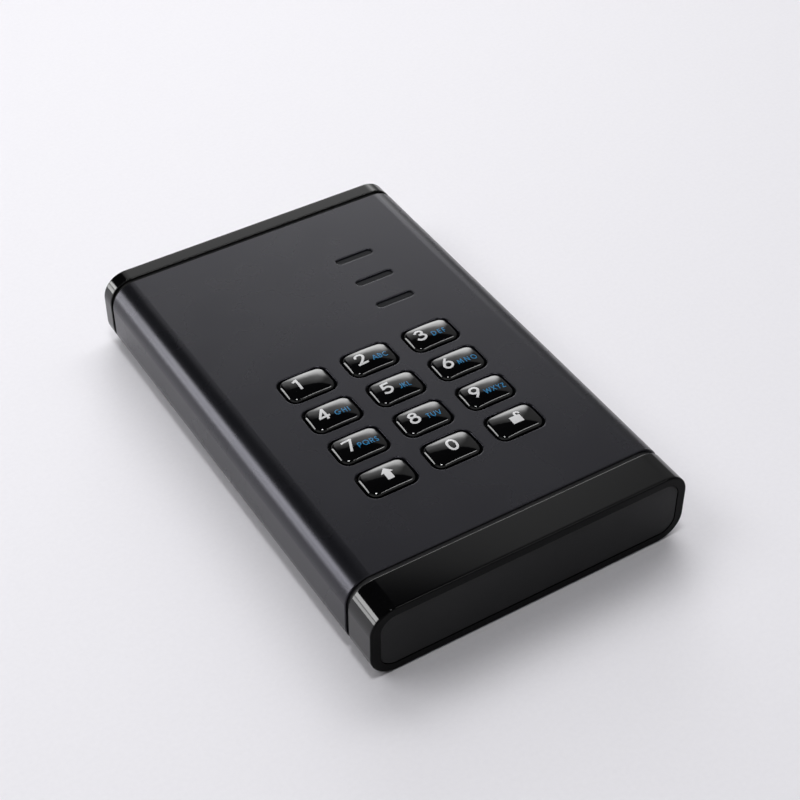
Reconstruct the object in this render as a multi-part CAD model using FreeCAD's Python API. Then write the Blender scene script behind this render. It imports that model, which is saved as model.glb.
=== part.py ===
import FreeCAD, Part
import math
import os

# Encrypted external drive with a keypad: an extruded sleeve closed by two moulded
# end caps, with a standard drive, its boards and a set of travelling keys inside.
# Millimetres. X runs across the drive, Y from the front cap to the rear cap, Z up.
# The origin is the centre of the underside.

# Solid state drive, in the standard 2.5 inch case of 7 mm height
SSD_WIDTH = 69.85
SSD_LENGTH = 100.0
SSD_CORNER = 1.5
SSD_WALL = 1.2
SSD_FLOOR = 0.8
SSD_LID = 0.8
SSD_LID_LIP = 1.0
SSD_LIP_FIT = 0.1
SSD_HOLE_SIDE = 4.065
SSD_HOLE_REAR = 14.0
SSD_HOLE_FRONT = 9.4
SSD_BOSS_RADIUS = 2.8
SSD_BOSS_HEIGHT = 4.0
SSD_BOARD_SIDE = 1.06
SSD_BOARD_LENGTH = 54.0
SSD_BOARD_THICKNESS = 1.0
SSD_BOARD_RISE = 1.4
SSD_PILLAR_RADIUS = 1.5
SSD_PILLAR_INSET = 4.0
SSD_CHIP = 12.0
FLASH_WIDTH = 12.0
FLASH_LENGTH = 18.0
FLASH_GAP = 4.0

# Connector between the drive and the bridge board
PLUG_HEIGHT = 3.6
PLUG_MARGIN = 1.3
PLUG_CLEARANCE = 0.7
PLUG_HEADROOM = 0.1
PLUG_BACK = 2.0
PLUG_FIT = 0.1
PLUG_TO_POST = 0.725
TONGUE_THICKNESS = 1.2
TONGUE_LENGTH = 3.7
SIGNAL_WIDTH = 10.4
POWER_WIDTH = 20.6
TONGUE_GAP = 2.4
RECEPTACLE_GAP = 0.2
RECEPTACLE_DEPTH = 7.0
RECEPTACLE_DROP = 0.5
RECEPTACLE_NOSE = 3.6
NOSE_FIT = 0.3
TONGUE_FIT = 0.2

# Socket on the bridge board
USB_WIDTH = 8.94
USB_HEIGHT = 3.26
USB_DEPTH = 7.35
USB_WALL = 0.3
USB_RECESS = 0.2
USB_TONGUE_WIDTH = 6.7
USB_TONGUE_THICKNESS = 0.7
USB_TONGUE_SETBACK = 0.7
USB_BACK = 1.9
USB_FIT = 0.2
USB_TAB_LENGTH = 1.4
USB_TAB_REACH = 1.4
USB_LEAD_IN = 0.4
SHELL_GAP = 1.65

# Extruded sleeve
SLEEVE_WALL = 1.5
EDGE_RADIUS = 6.45
SLEEVE_END_CHAMFER = 0.2
CHANNEL_WEB = 0.9
CHANNEL_RADIUS = 1.8
CHANNEL_SLOT = 0.9
CHANNEL_CLEARANCE = 1.075
GUIDE_THICKNESS = 0.9
GUIDE_LAP = 1.0
GUIDE_FIT = 0.1

# End caps, front panel and gaskets
FRONT_CAP_LENGTH = 9.6
REAR_CAP_LENGTH = 4.2
SEAL_GAP = 1.3
SEAL_RECESS = 0.8
SEAL_FIT = 0.05
CAP_FLOOR = 1.5
REAR_FLOOR = 2.0
CAP_FACE_FILLET = 0.5
CAP_SEAM_FILLET = 0.25
RIM_WIDTH = 2.3
PANEL_RECESS = 0.15
PANEL_THICKNESS = 1.0
PANEL_FIT = 0.06
PANEL_EDGE = 0.15
SPIGOT_FIT = 0.15
SPIGOT_WALL = 1.5
SPIGOT_DEPTH = 4.0
SPIGOT_ROOT = 1.5
SPIGOT_OVERLAP = 0.55

# Screws
CAP_SCREW_RADIUS = 0.95
CAP_SCREW_HEAD = 1.75
CAP_SCREW_HEAD_HEIGHT = 1.3
CAP_SCREW_DRIVE = 0.55
CAP_SCREW_ENGAGEMENT = 6.0
SCREW_FIT = 0.1
HEAD_FIT = 0.2
BOSS_WALL = 0.7
BOSS_CLEARANCE = 0.1
SSD_SCREW_RADIUS = 1.4
SSD_SCREW_HEAD = 2.7
SSD_SCREW_CONE = 1.3
SSD_SCREW_REACH = 3.0

# Drive tray
TRAY_FIT = 0.1
TRAY_FLOOR = 1.8
TRAY_END_CLEARANCE = 0.2
TRAY_STOP = 1.8
TRAY_STOP_HEIGHT = 4.0
TRAY_RAIL = 0.9
TRAY_RAIL_HEIGHT = 2.5
DRIVE_CLEARANCE = 0.1
POST_RADIUS = 2.2
POST_SIDE = 6.0
POST_FROM_DRIVE = 3.6

# Boards, potting, foam and flat cable
FOAM_HEIGHT = 2.2
FOAM_MARGIN = 2.0
POTTING_HEIGHT = 1.6
POTTING_WIDTH = 44.0
POTTING_LENGTH = 34.0
POTTING_CORNER = 3.0
POTTING_EDGE = 0.6
CHIP_FIT = 0.05
CHIP_HEIGHT = 1.0
SECURE_CHIP = 8.0
CRYPTO_CHIP = 12.0
CHIP_SPREAD = 20.0
BOARD_THICKNESS = 1.0
BOARD_EDGE_CLEARANCE = 0.4
BRIDGE_THICKNESS = 1.2
BRIDGE_SIDE = 1.925
BRIDGE_FRONT_GAP = 0.3
BRIDGE_REAR_GAP = 0.5
BRIDGE_CHIP = 7.0
BRIDGE_CHIP_OFFSET = -16.0
CABLE_WIDTH = 14.0
CABLE_THICKNESS = 0.2
CABLE_TO_POST = 1.2
CABLE_RUN = 2.5
CONNECTOR_HEIGHT = 1.8
CONNECTOR_DEPTH = 4.5
CONNECTOR_SIDE = 1.0
CONNECTOR_MOUTH = 1.0
CONNECTOR_SETBACK = 1.5

# Keys in the sleeve's windows, named row by row from the rear
KEY_NAMES = [
    ["key_1", "key_2", "key_3"],
    ["key_4", "key_5", "key_6"],
    ["key_7", "key_8", "key_9"],
    ["key_shift", "key_0", "key_unlock"],
]
KEY_LENGTH = 12.4
KEY_DEPTH = 8.3
KEY_CORNER = 2.1
KEY_GAP = 0.5
KEY_LAND_X = 4.0
KEY_LAND_Y = 2.85
KEY_RIM_RISE = 0.3
KEY_CROWN = 0.8
KEY_CROWN_ROUND = 0.65
KEY_CORNER_LIFT = 0.55
KEY_EDGE = 1.1
KEY_TRAVEL = 0.8
FLANGE_LIP = 0.55
FLANGE_THICKNESS = 0.8
FLANGE_CLEARANCE = 0.15
PLUNGER_RADIUS = 2.2
PLUNGER_HEIGHT = 1.55
PLUNGER_FIT = 0.3
CONTACT_MARGIN = 0.2
CONTACT_THICKNESS = 0.05
CONTACT_CLEARANCE = 0.05
WINDOW_ROLL = 0.3
KEYPAD_FROM_FRONT = 23.0
KEYMAT_WEB = 0.9
KEYMAT_MARGIN = 1.5
COLLAR_WALL = 0.9
COLLAR_CLEARANCE = 0.1
PEG_RADIUS = 0.9
PEG_FIT = 0.1

# Status lights
LIGHT_COUNT = 3
LIGHT_LENGTH = 10.5
LIGHT_WIDTH = 2.2
LIGHT_PITCH = 10.1
LIGHT_FROM_KEYS = 16.55
LIGHT_RECESS = 0.4
LIGHT_FIT = 0.1
LIGHT_LIP = 0.8
LIGHT_FLANGE = 0.8
LAMP_LENGTH = 3.2
LAMP_WIDTH = 1.6
LAMP_HEIGHT = 0.7
LAMP_CLEARANCE = 0.15

# Heights, worked out from the stack of pieces
SSD_HEIGHT = SSD_FLOOR + PLUG_CLEARANCE + PLUG_HEIGHT + PLUG_HEADROOM + SSD_LID_LIP + SSD_LID
KEY_STACK = (CONTACT_THICKNESS + KEY_TRAVEL + CONTACT_CLEARANCE + PLUNGER_HEIGHT
             + FLANGE_THICKNESS + FLANGE_CLEARANCE)
TRAY_BOTTOM = SLEEVE_WALL + TRAY_FIT
SSD_BOTTOM = TRAY_BOTTOM + TRAY_FLOOR
SSD_INSIDE = SSD_BOTTOM + SSD_FLOOR
SSD_TOP = SSD_BOTTOM + SSD_HEIGHT
SSD_SEAM = SSD_TOP - SSD_LID
POTTING_BOTTOM = SSD_TOP + FOAM_HEIGHT
BOARD_BOTTOM = POTTING_BOTTOM + POTTING_HEIGHT
BOARD_TOP = BOARD_BOTTOM + BOARD_THICKNESS
WALL_BOTTOM = BOARD_TOP + KEY_STACK
BODY_HEIGHT = WALL_BOTTOM + SLEEVE_WALL
MID_HEIGHT = BODY_HEIGHT / 2
BRIDGE_BOTTOM = MID_HEIGHT - BRIDGE_THICKNESS / 2
BRIDGE_TOP = MID_HEIGHT + BRIDGE_THICKNESS / 2
PLUG_Z = SSD_INSIDE + PLUG_CLEARANCE + PLUG_HEIGHT / 2

# Widths, worked out from the drive and the screw channels beside it
POST_X = SSD_WIDTH / 2 - POST_SIDE
PLUG_WIDTH = SIGNAL_WIDTH + TONGUE_GAP + POWER_WIDTH + 2 * PLUG_MARGIN
PLUG_LEFT = POST_RADIUS + PLUG_TO_POST - POST_X
PLUG_RIGHT = PLUG_LEFT + PLUG_WIDTH
CABLE_RIGHT = POST_X - CAP_SCREW_HEAD - CABLE_TO_POST - CONNECTOR_SIDE
CABLE_LEFT = CABLE_RIGHT - CABLE_WIDTH
CAP_WALL = SLEEVE_WALL + SPIGOT_FIT + SPIGOT_OVERLAP
CHANNEL_ROOM = CHANNEL_WEB + 2 * CHANNEL_RADIUS + CHANNEL_CLEARANCE
BODY_WIDTH = SSD_WIDTH + 2 * (SLEEVE_WALL + CHANNEL_ROOM)
BORE_HALF = BODY_WIDTH / 2 - SLEEVE_WALL
SCREW_X = BORE_HALF - CHANNEL_WEB - CHANNEL_RADIUS
BORE_RADIUS = EDGE_RADIUS - SLEEVE_WALL
BOARD_DEPTH_IN_CORNER = max(BOARD_TOP - (WALL_BOTTOM - BORE_RADIUS), 0.0)
BORE_NARROWING = BORE_RADIUS - math.sqrt(BORE_RADIUS ** 2 - BOARD_DEPTH_IN_CORNER ** 2)
BOARD_HALF = BORE_HALF - BORE_NARROWING - BOARD_EDGE_CLEARANCE

# Lengths, worked out from the front of the drive to the socket's mouth
FRONT_TO_DRIVE = (FRONT_CAP_LENGTH + SEAL_GAP + SPIGOT_DEPTH + TRAY_END_CLEARANCE
                  + TRAY_STOP + DRIVE_CLEARANCE)
DRIVE_TO_REAR = RECEPTACLE_GAP + RECEPTACLE_DEPTH + SHELL_GAP + USB_DEPTH + USB_RECESS
BODY_LENGTH = FRONT_TO_DRIVE + SSD_LENGTH + DRIVE_TO_REAR
FRONT_FACE = -BODY_LENGTH / 2
REAR_FACE = BODY_LENGTH / 2
SLEEVE_FRONT = FRONT_FACE + FRONT_CAP_LENGTH + SEAL_GAP
SLEEVE_REAR = REAR_FACE - REAR_CAP_LENGTH - SEAL_GAP
TRAY_FRONT = SLEEVE_FRONT + SPIGOT_DEPTH + TRAY_END_CLEARANCE
TRAY_REAR = SLEEVE_REAR - SPIGOT_DEPTH - TRAY_END_CLEARANCE
SSD_FRONT = FRONT_FACE + FRONT_TO_DRIVE
SSD_REAR = SSD_FRONT + SSD_LENGTH

# Key places
KEY_ROWS = len(KEY_NAMES)
KEY_COLUMNS = len(KEY_NAMES[0])
WINDOW_LENGTH = KEY_LENGTH + 2 * KEY_GAP
WINDOW_DEPTH = KEY_DEPTH + 2 * KEY_GAP
KEY_PITCH_X = WINDOW_LENGTH + KEY_LAND_X
KEY_PITCH_Y = WINDOW_DEPTH + KEY_LAND_Y
FRONT_ROW = SLEEVE_FRONT + KEYPAD_FROM_FRONT
REAR_ROW = FRONT_ROW + (KEY_ROWS - 1) * KEY_PITCH_Y
KEYPAD_Y = (FRONT_ROW + REAR_ROW) / 2
KEY_PLACES = {}
for row in range(KEY_ROWS):
    for column in range(KEY_COLUMNS):
        key_x = (column - (KEY_COLUMNS - 1) / 2) * KEY_PITCH_X
        KEY_PLACES[KEY_NAMES[row][column]] = (key_x, REAR_ROW - row * KEY_PITCH_Y)
LIGHT_X = (KEY_COLUMNS - 1) / 2 * KEY_PITCH_X
LIGHT_PLACES = [REAR_ROW + LIGHT_FROM_KEYS + i * LIGHT_PITCH for i in range(LIGHT_COUNT)]

X_AXIS = FreeCAD.Vector(1, 0, 0)
Y_AXIS = FreeCAD.Vector(0, 1, 0)
Z_AXIS = FreeCAD.Vector(0, 0, 1)
ORIGIN = FreeCAD.Vector(0, 0, 0)
CLOSE = 1e-4


def save(name, shape):
    """Write one piece, or a group of like pieces, as its own file."""
    shape.exportStep(os.path.join("parts", name + ".step"))


def rounded_face(width, depth, radius):
    """A rounded rectangle in the XY plane, centred on the origin."""
    half_x = width / 2 - radius
    half_y = depth / 2 - radius
    arcs = []
    for turn, (side_x, side_y) in enumerate([(1, 1), (-1, 1), (-1, -1), (1, -1)]):
        centre = FreeCAD.Vector(side_x * half_x, side_y * half_y, 0)
        arcs.append(Part.makeCircle(radius, centre, Z_AXIS, 90 * turn, 90 * turn + 90))
    edges = []
    for arc, following in zip(arcs, arcs[1:] + arcs[:1]):
        edges.append(arc)
        start = arc.valueAt(arc.LastParameter)
        end = following.valueAt(following.FirstParameter)
        if start.distanceToPoint(end) > CLOSE:
            edges.append(Part.makeLine(start, end))
    return Part.Face(Part.Wire(edges))


def pad(width, depth, radius, z0, z1, x=0.0, y=0.0):
    """A rounded rectangle raised from z0 to z1."""
    face = rounded_face(width, depth, radius)
    face.translate(FreeCAD.Vector(x, y, z0))
    return face.extrude(FreeCAD.Vector(0, 0, z1 - z0))


def block(width, depth, z0, z1, x=0.0, y=0.0):
    """A plain rectangle raised from z0 to z1."""
    corner = FreeCAD.Vector(x - width / 2, y - depth / 2, z0)
    return Part.makeBox(width, depth, z1 - z0, corner)


def span(x0, x1, y0, y1, z0, z1):
    """A plain box between two corners."""
    return Part.makeBox(x1 - x0, y1 - y0, z1 - z0, FreeCAD.Vector(x0, y0, z0))


def peg(radius, z0, z1, x, y):
    """An upright cylinder."""
    return Part.makeCylinder(radius, z1 - z0, FreeCAD.Vector(x, y, z0), Z_AXIS)


def rod(radius, y0, y1, x, z):
    """A cylinder that runs along the drive."""
    return Part.makeCylinder(radius, y1 - y0, FreeCAD.Vector(x, y0, z), Y_AXIS)


def bar(width, height, radius, y0, y1, z):
    """A rounded section that runs along the drive, centred on X."""
    face = rounded_face(width, height, radius)
    face.rotate(ORIGIN, X_AXIS, 90)
    face.translate(FreeCAD.Vector(0, y0, z))
    return face.extrude(FreeCAD.Vector(0, y1 - y0, 0))


def outline(inset, y0, y1):
    """The body's rounded section, drawn in by an inset, from y0 to y1."""
    width = BODY_WIDTH - 2 * inset
    height = BODY_HEIGHT - 2 * inset
    return bar(width, height, EDGE_RADIUS - inset, y0, y1, MID_HEIGHT)


def edges_at_y(shape, y):
    """Edges that lie in the plane across the drive at y."""
    found = []
    for edge in shape.Edges:
        box = edge.BoundBox
        if abs(box.YMin - y) < CLOSE and abs(box.YMax - y) < CLOSE:
            found.append(edge)
    return found


def edges_at_z(shape, z, reach_x, reach_y):
    """Short edges in the level plane at z, such as the rims of small holes."""
    found = []
    for edge in shape.Edges:
        box = edge.BoundBox
        level = abs(box.ZMin - z) < CLOSE and abs(box.ZMax - z) < CLOSE
        if level and box.XLength < reach_x and box.YLength < reach_y:
            found.append(edge)
    return found


# Sleeve: one extruded section with screw channels and card guides, then pierced
def sleeve_section():
    tube = outline(0, SLEEVE_FRONT, SLEEVE_REAR)
    rims = edges_at_y(tube, SLEEVE_FRONT) + edges_at_y(tube, SLEEVE_REAR)
    tube = tube.makeChamfer(SLEEVE_END_CHAMFER, rims)
    tube = tube.cut(outline(SLEEVE_WALL, SLEEVE_FRONT, SLEEVE_REAR))
    inner = []
    holes = []
    guide_x = BOARD_HALF - GUIDE_LAP
    wall_x = BODY_WIDTH / 2
    guides = [
        BOARD_BOTTOM - GUIDE_FIT - GUIDE_THICKNESS,
        BOARD_TOP + GUIDE_FIT,
    ]
    for side in (-1, 1):
        for guide_z in guides:
            ends = sorted([side * guide_x, side * wall_x])
            inner.append(span(*ends, SLEEVE_FRONT, SLEEVE_REAR, guide_z, guide_z + GUIDE_THICKNESS))
        inner.append(rod(CHANNEL_RADIUS, SLEEVE_FRONT, SLEEVE_REAR, side * SCREW_X, MID_HEIGHT))
        ends = sorted([side * SCREW_X, side * wall_x])
        web = CHANNEL_RADIUS / 2
        inner.append(span(*ends, SLEEVE_FRONT, SLEEVE_REAR, MID_HEIGHT - web, MID_HEIGHT + web))
        hole = CAP_SCREW_RADIUS + SCREW_FIT
        holes.append(rod(hole, SLEEVE_FRONT, SLEEVE_REAR, side * SCREW_X, MID_HEIGHT))
        ends = sorted([side * SCREW_X, side * (SCREW_X - 2 * CHANNEL_RADIUS)])
        slot = CHANNEL_SLOT / 2
        holes.append(span(*ends, SLEEVE_FRONT, SLEEVE_REAR, MID_HEIGHT - slot, MID_HEIGHT + slot))
    within = outline(SLEEVE_WALL / 2, SLEEVE_FRONT, SLEEVE_REAR)
    inner = inner[0].multiFuse(inner[1:]).common(within)
    return tube.fuse(inner).cut(Part.makeCompound(holes)).removeSplitter()


def sleeve():
    openings = []
    for key_x, key_y in KEY_PLACES.values():
        radius = KEY_CORNER + KEY_GAP
        openings.append(pad(WINDOW_LENGTH, WINDOW_DEPTH, radius,
                            BOARD_TOP, BODY_HEIGHT + SLEEVE_WALL, key_x, key_y))
    for light_y in LIGHT_PLACES:
        openings.append(pad(LIGHT_LENGTH, LIGHT_WIDTH, LIGHT_WIDTH / 2,
                            BOARD_TOP, BODY_HEIGHT + SLEEVE_WALL, LIGHT_X, light_y))
    body = sleeve_section().cut(Part.makeCompound(openings))
    rims = edges_at_z(body, BODY_HEIGHT, WINDOW_LENGTH, WINDOW_DEPTH)
    return body.makeFillet(WINDOW_ROLL, rims)


# End caps: moulded shells with a spigot that locates in the sleeve's bore
def cap_screw_hole(side, y_head, y_end):
    """Shank hole along one screw channel."""
    return rod(CAP_SCREW_RADIUS + SCREW_FIT, y_head, y_end, side * SCREW_X, MID_HEIGHT)


def spigot(root, seam, end):
    """Ring from inside the cap to the sleeve, cut back to tongues clear of the channels."""
    y0, y1 = sorted([root, end])
    inset = SLEEVE_WALL + SPIGOT_FIT
    ring = outline(inset, y0, y1).cut(outline(inset + SPIGOT_WALL, y0, y1))
    y0, y1 = sorted([seam, end])
    tongue_x = SCREW_X - CHANNEL_RADIUS - SPIGOT_WALL
    for side in (-1, 1):
        ends = sorted([side * tongue_x, side * BODY_WIDTH / 2])
        ring = ring.cut(span(*ends, y0, y1, 0, BODY_HEIGHT))
    return ring


def cap_bosses(y0, y1):
    """Pillars that take the screws, trimmed to the spigot's outline."""
    radius = CAP_SCREW_HEAD + HEAD_FIT + BOSS_WALL
    pillars = [rod(radius, y0, y1, side * SCREW_X, MID_HEIGHT) for side in (-1, 1)]
    trim = outline(SLEEVE_WALL + SPIGOT_FIT, y0, y1)
    return Part.makeCompound(pillars).common(trim)


def front_end_cap():
    seam = FRONT_FACE + FRONT_CAP_LENGTH
    floor = FRONT_FACE + PANEL_RECESS + PANEL_THICKNESS
    back = floor + CAP_FLOOR
    shell = outline(0, FRONT_FACE, seam)
    shell = shell.makeFillet(CAP_FACE_FILLET, edges_at_y(shell, FRONT_FACE))
    shell = shell.makeFillet(CAP_SEAM_FILLET, edges_at_y(shell, seam))
    shell = shell.cut(outline(RIM_WIDTH, FRONT_FACE - PANEL_RECESS, floor))
    shell = shell.cut(outline(CAP_WALL, back, seam))
    boss_end = SLEEVE_FRONT - BOSS_CLEARANCE
    shell = shell.fuse(spigot(seam - SPIGOT_ROOT, boss_end, SLEEVE_FRONT + SPIGOT_DEPTH))
    shell = shell.fuse(cap_bosses(floor, boss_end))
    head_seat = floor + CAP_SCREW_HEAD_HEIGHT + HEAD_FIT
    for side in (-1, 1):
        shell = shell.cut(rod(CAP_SCREW_HEAD + HEAD_FIT, floor, head_seat, side * SCREW_X, MID_HEIGHT))
        shell = shell.cut(cap_screw_hole(side, floor, boss_end))
    return shell.removeSplitter()


def front_panel():
    inset = RIM_WIDTH + PANEL_FIT
    face = FRONT_FACE + PANEL_RECESS
    panel = outline(inset, face, face + PANEL_THICKNESS)
    return panel.makeChamfer(PANEL_EDGE, edges_at_y(panel, face))


def rear_end_cap():
    seam = REAR_FACE - REAR_CAP_LENGTH
    back = REAR_FACE - REAR_FLOOR
    shell = outline(0, seam, REAR_FACE)
    shell = shell.makeFillet(CAP_FACE_FILLET, edges_at_y(shell, REAR_FACE))
    shell = shell.makeFillet(CAP_SEAM_FILLET, edges_at_y(shell, seam))
    shell = shell.cut(outline(CAP_WALL, seam, back))
    boss_end = SLEEVE_REAR + BOSS_CLEARANCE
    shell = shell.fuse(spigot(seam + SPIGOT_ROOT, boss_end, SLEEVE_REAR - SPIGOT_DEPTH))
    shell = shell.fuse(cap_bosses(boss_end, REAR_FACE - CAP_FACE_FILLET))
    head_seat = REAR_FACE - CAP_SCREW_HEAD_HEIGHT - HEAD_FIT
    for side in (-1, 1):
        shell = shell.cut(rod(CAP_SCREW_HEAD + HEAD_FIT, head_seat, REAR_FACE, side * SCREW_X, MID_HEIGHT))
        shell = shell.cut(cap_screw_hole(side, boss_end, REAR_FACE))
    width = USB_WIDTH + 2 * USB_FIT
    height = USB_HEIGHT + 2 * USB_FIT
    mouth = bar(width, height, height / 2, back - REAR_FLOOR, REAR_FACE, MID_HEIGHT)
    shell = shell.cut(mouth).removeSplitter()
    rim = [edge for edge in edges_at_y(shell, REAR_FACE) if edge.BoundBox.XMax < width]
    rim = [edge for edge in rim if edge.BoundBox.XMin > -width]
    return shell.makeChamfer(USB_LEAD_IN, rim)


def gasket(y0, y1):
    """Soft ring between a cap and the sleeve, set back from the surface."""
    ring = outline(SEAL_RECESS, y0, y1)
    return ring.cut(outline(SLEEVE_WALL + SPIGOT_FIT - SEAL_FIT, y0, y1))


def cap_screw(x, y_head, facing, shank):
    """Pan head screw with a six-sided drive; facing is the way its head looks along Y."""
    head = rod(CAP_SCREW_HEAD, 0, CAP_SCREW_HEAD_HEIGHT, 0, 0)
    head = head.makeChamfer(CAP_SCREW_HEAD_HEIGHT / 3, edges_at_y(head, CAP_SCREW_HEAD_HEIGHT))
    corners = []
    for corner in range(7):
        turn = math.radians(60 * corner)
        corners.append(FreeCAD.Vector(math.cos(turn), 0, math.sin(turn)) * (CAP_SCREW_HEAD / 2))
    drive = Part.Face(Part.makePolygon(corners)).extrude(Y_AXIS * CAP_SCREW_DRIVE)
    drive.translate(Y_AXIS * (CAP_SCREW_HEAD_HEIGHT - CAP_SCREW_DRIVE))
    screw = head.cut(drive).fuse(rod(CAP_SCREW_RADIUS, -shank, 0, 0, 0))
    if facing < 0:
        screw.rotate(ORIGIN, Z_AXIS, 180)
    screw.translate(FreeCAD.Vector(x, y_head, MID_HEIGHT))
    return screw


# Keys: a crowned cap, a flange trapped under the sleeve's wall and a plunger below
FLANGE_TOP = WALL_BOTTOM - FLANGE_CLEARANCE
FLANGE_BOTTOM = FLANGE_TOP - FLANGE_THICKNESS
PLUNGER_BOTTOM = FLANGE_BOTTOM - PLUNGER_HEIGHT
KEY_RIM = BODY_HEIGHT + KEY_RIM_RISE


def crown_surface():
    """Pillow surface: it falls from the crown as a round arc, then more steeply near the rim."""
    square = (1, 0, -1 / 3, 0, 1)
    fourth = (1, -1, 1, -1, 1)
    fall = [KEY_CROWN_ROUND * s + (1 - KEY_CROWN_ROUND) * f for s, f in zip(square, fourth)]
    last = len(fall) - 1
    surface = Part.BezierSurface()
    surface.increase(last, last)
    for i, fall_x in enumerate(fall):
        for j, fall_y in enumerate(fall):
            x = KEY_LENGTH * (i / last - 0.5)
            y = KEY_DEPTH * (j / last - 0.5)
            lift = KEY_CROWN * (1 - fall_x - fall_y + KEY_CORNER_LIFT * fall_x * fall_y)
            surface.setPole(i + 1, j + 1, FreeCAD.Vector(x, y, KEY_RIM + lift))
    return surface


def key():
    under = crown_surface().toShape().extrude(Z_AXIS * (FLANGE_TOP - KEY_RIM - KEY_CROWN))
    cap = pad(KEY_LENGTH, KEY_DEPTH, KEY_CORNER, FLANGE_TOP, KEY_RIM + 2 * KEY_CROWN)
    cap = cap.common(under)
    rim = [edge for edge in cap.Edges if edge.BoundBox.ZMin > FLANGE_TOP + CLOSE]
    cap = cap.makeFillet(KEY_EDGE, rim)
    lip = KEY_GAP + FLANGE_LIP
    flange = pad(KEY_LENGTH + 2 * lip, KEY_DEPTH + 2 * lip, KEY_CORNER + lip, FLANGE_BOTTOM, FLANGE_TOP)
    plunger = peg(PLUNGER_RADIUS, PLUNGER_BOTTOM, FLANGE_BOTTOM, 0, 0)
    return cap.multiFuse([flange, plunger]).removeSplitter()


# Keymat: rubber sheet on the board, with a hole and a stop collar at each key
def keymat():
    lip = KEY_GAP + FLANGE_LIP + KEYMAT_MARGIN
    width = (KEY_COLUMNS - 1) * KEY_PITCH_X + KEY_LENGTH + 2 * lip
    depth = (KEY_ROWS - 1) * KEY_PITCH_Y + KEY_DEPTH + 2 * lip
    web_top = BOARD_TOP + KEYMAT_WEB
    mat = pad(width, depth, KEY_CORNER, BOARD_TOP, web_top, 0, KEYPAD_Y)
    hole = PLUNGER_RADIUS + PLUNGER_FIT
    collar_top = FLANGE_BOTTOM - KEY_TRAVEL - COLLAR_CLEARANCE
    collars = [peg(hole + COLLAR_WALL, BOARD_TOP, collar_top, x, y) for x, y in KEY_PLACES.values()]
    holes = [peg(hole, BOARD_TOP, collar_top, x, y) for x, y in KEY_PLACES.values()]
    pegs = [peg(PEG_RADIUS, BOARD_BOTTOM, web_top, x, y) for x, y in peg_places()]
    return mat.multiFuse(collars + pegs).cut(Part.makeCompound(holes)).removeSplitter()


def peg_places():
    """Keymat pegs, midway between the keys of the outer rows."""
    places = []
    for side_x in (-1, 1):
        for side_y in (-1, 1):
            y = KEYPAD_Y + side_y * (KEY_ROWS / 2 - 1) * KEY_PITCH_Y
            places.append((side_x * KEY_PITCH_X / 2, y))
    return places


# Status lights: a lens bar in each slot, its lip bonded under the sleeve's wall
def light_pipe(y):
    width = LIGHT_WIDTH - 2 * LIGHT_FIT
    bar_top = BODY_HEIGHT - LIGHT_RECESS
    lens = pad(LIGHT_LENGTH - 2 * LIGHT_FIT, width, width / 2, WALL_BOTTOM, bar_top, LIGHT_X, y)
    lip_width = LIGHT_WIDTH + 2 * LIGHT_LIP
    lip_bottom = WALL_BOTTOM - LIGHT_FLANGE
    lip = pad(LIGHT_LENGTH + 2 * LIGHT_LIP, lip_width, lip_width / 2, lip_bottom, WALL_BOTTOM, LIGHT_X, y)
    foot = BOARD_TOP + LAMP_HEIGHT + LAMP_CLEARANCE
    stem = block(LAMP_LENGTH, LAMP_WIDTH, foot, lip_bottom, LIGHT_X, y)
    return lens.multiFuse([lip, stem]).removeSplitter()


# Keypad board: fills the card guides and carries contacts, lamps and controllers
def keypad_board():
    board = span(-BOARD_HALF, BOARD_HALF, TRAY_FRONT, TRAY_REAR, BOARD_BOTTOM, BOARD_TOP)
    holes = [peg(PEG_RADIUS + PEG_FIT, BOARD_BOTTOM, BOARD_TOP, x, y) for x, y in peg_places()]
    return board.cut(Part.makeCompound(holes))


def key_contacts():
    pads = []
    radius = PLUNGER_RADIUS - CONTACT_MARGIN
    for x, y in KEY_PLACES.values():
        pads.append(peg(radius, BOARD_TOP, BOARD_TOP + CONTACT_THICKNESS, x, y))
    return Part.makeCompound(pads)


def status_lamps():
    lamps = [block(LAMP_LENGTH, LAMP_WIDTH, BOARD_TOP, BOARD_TOP + LAMP_HEIGHT, LIGHT_X, y)
             for y in LIGHT_PLACES]
    return Part.makeCompound(lamps)


def hanging_chip(size, x, fit=0.0):
    """Chip under the keypad board, or its pocket when given a fit."""
    return block(size + 2 * fit, size + 2 * fit, BOARD_BOTTOM - CHIP_HEIGHT - fit, BOARD_BOTTOM, x, KEYPAD_Y)


def epoxy_cover():
    cover = pad(POTTING_WIDTH, POTTING_LENGTH, POTTING_CORNER, POTTING_BOTTOM, BOARD_BOTTOM, 0, KEYPAD_Y)
    rim = edges_at_z(cover, POTTING_BOTTOM, POTTING_WIDTH, POTTING_LENGTH)
    cover = cover.makeChamfer(POTTING_EDGE, rim)
    chips = [hanging_chip(SECURE_CHIP, -CHIP_SPREAD / 2, CHIP_FIT),
             hanging_chip(CRYPTO_CHIP, CHIP_SPREAD / 2, CHIP_FIT)]
    return cover.cut(Part.makeCompound(chips))


def foam_pad():
    width = POTTING_WIDTH - 2 * FOAM_MARGIN
    depth = POTTING_LENGTH - 2 * FOAM_MARGIN
    return pad(width, depth, POTTING_CORNER, SSD_TOP, POTTING_BOTTOM, 0, KEYPAD_Y)


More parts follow.
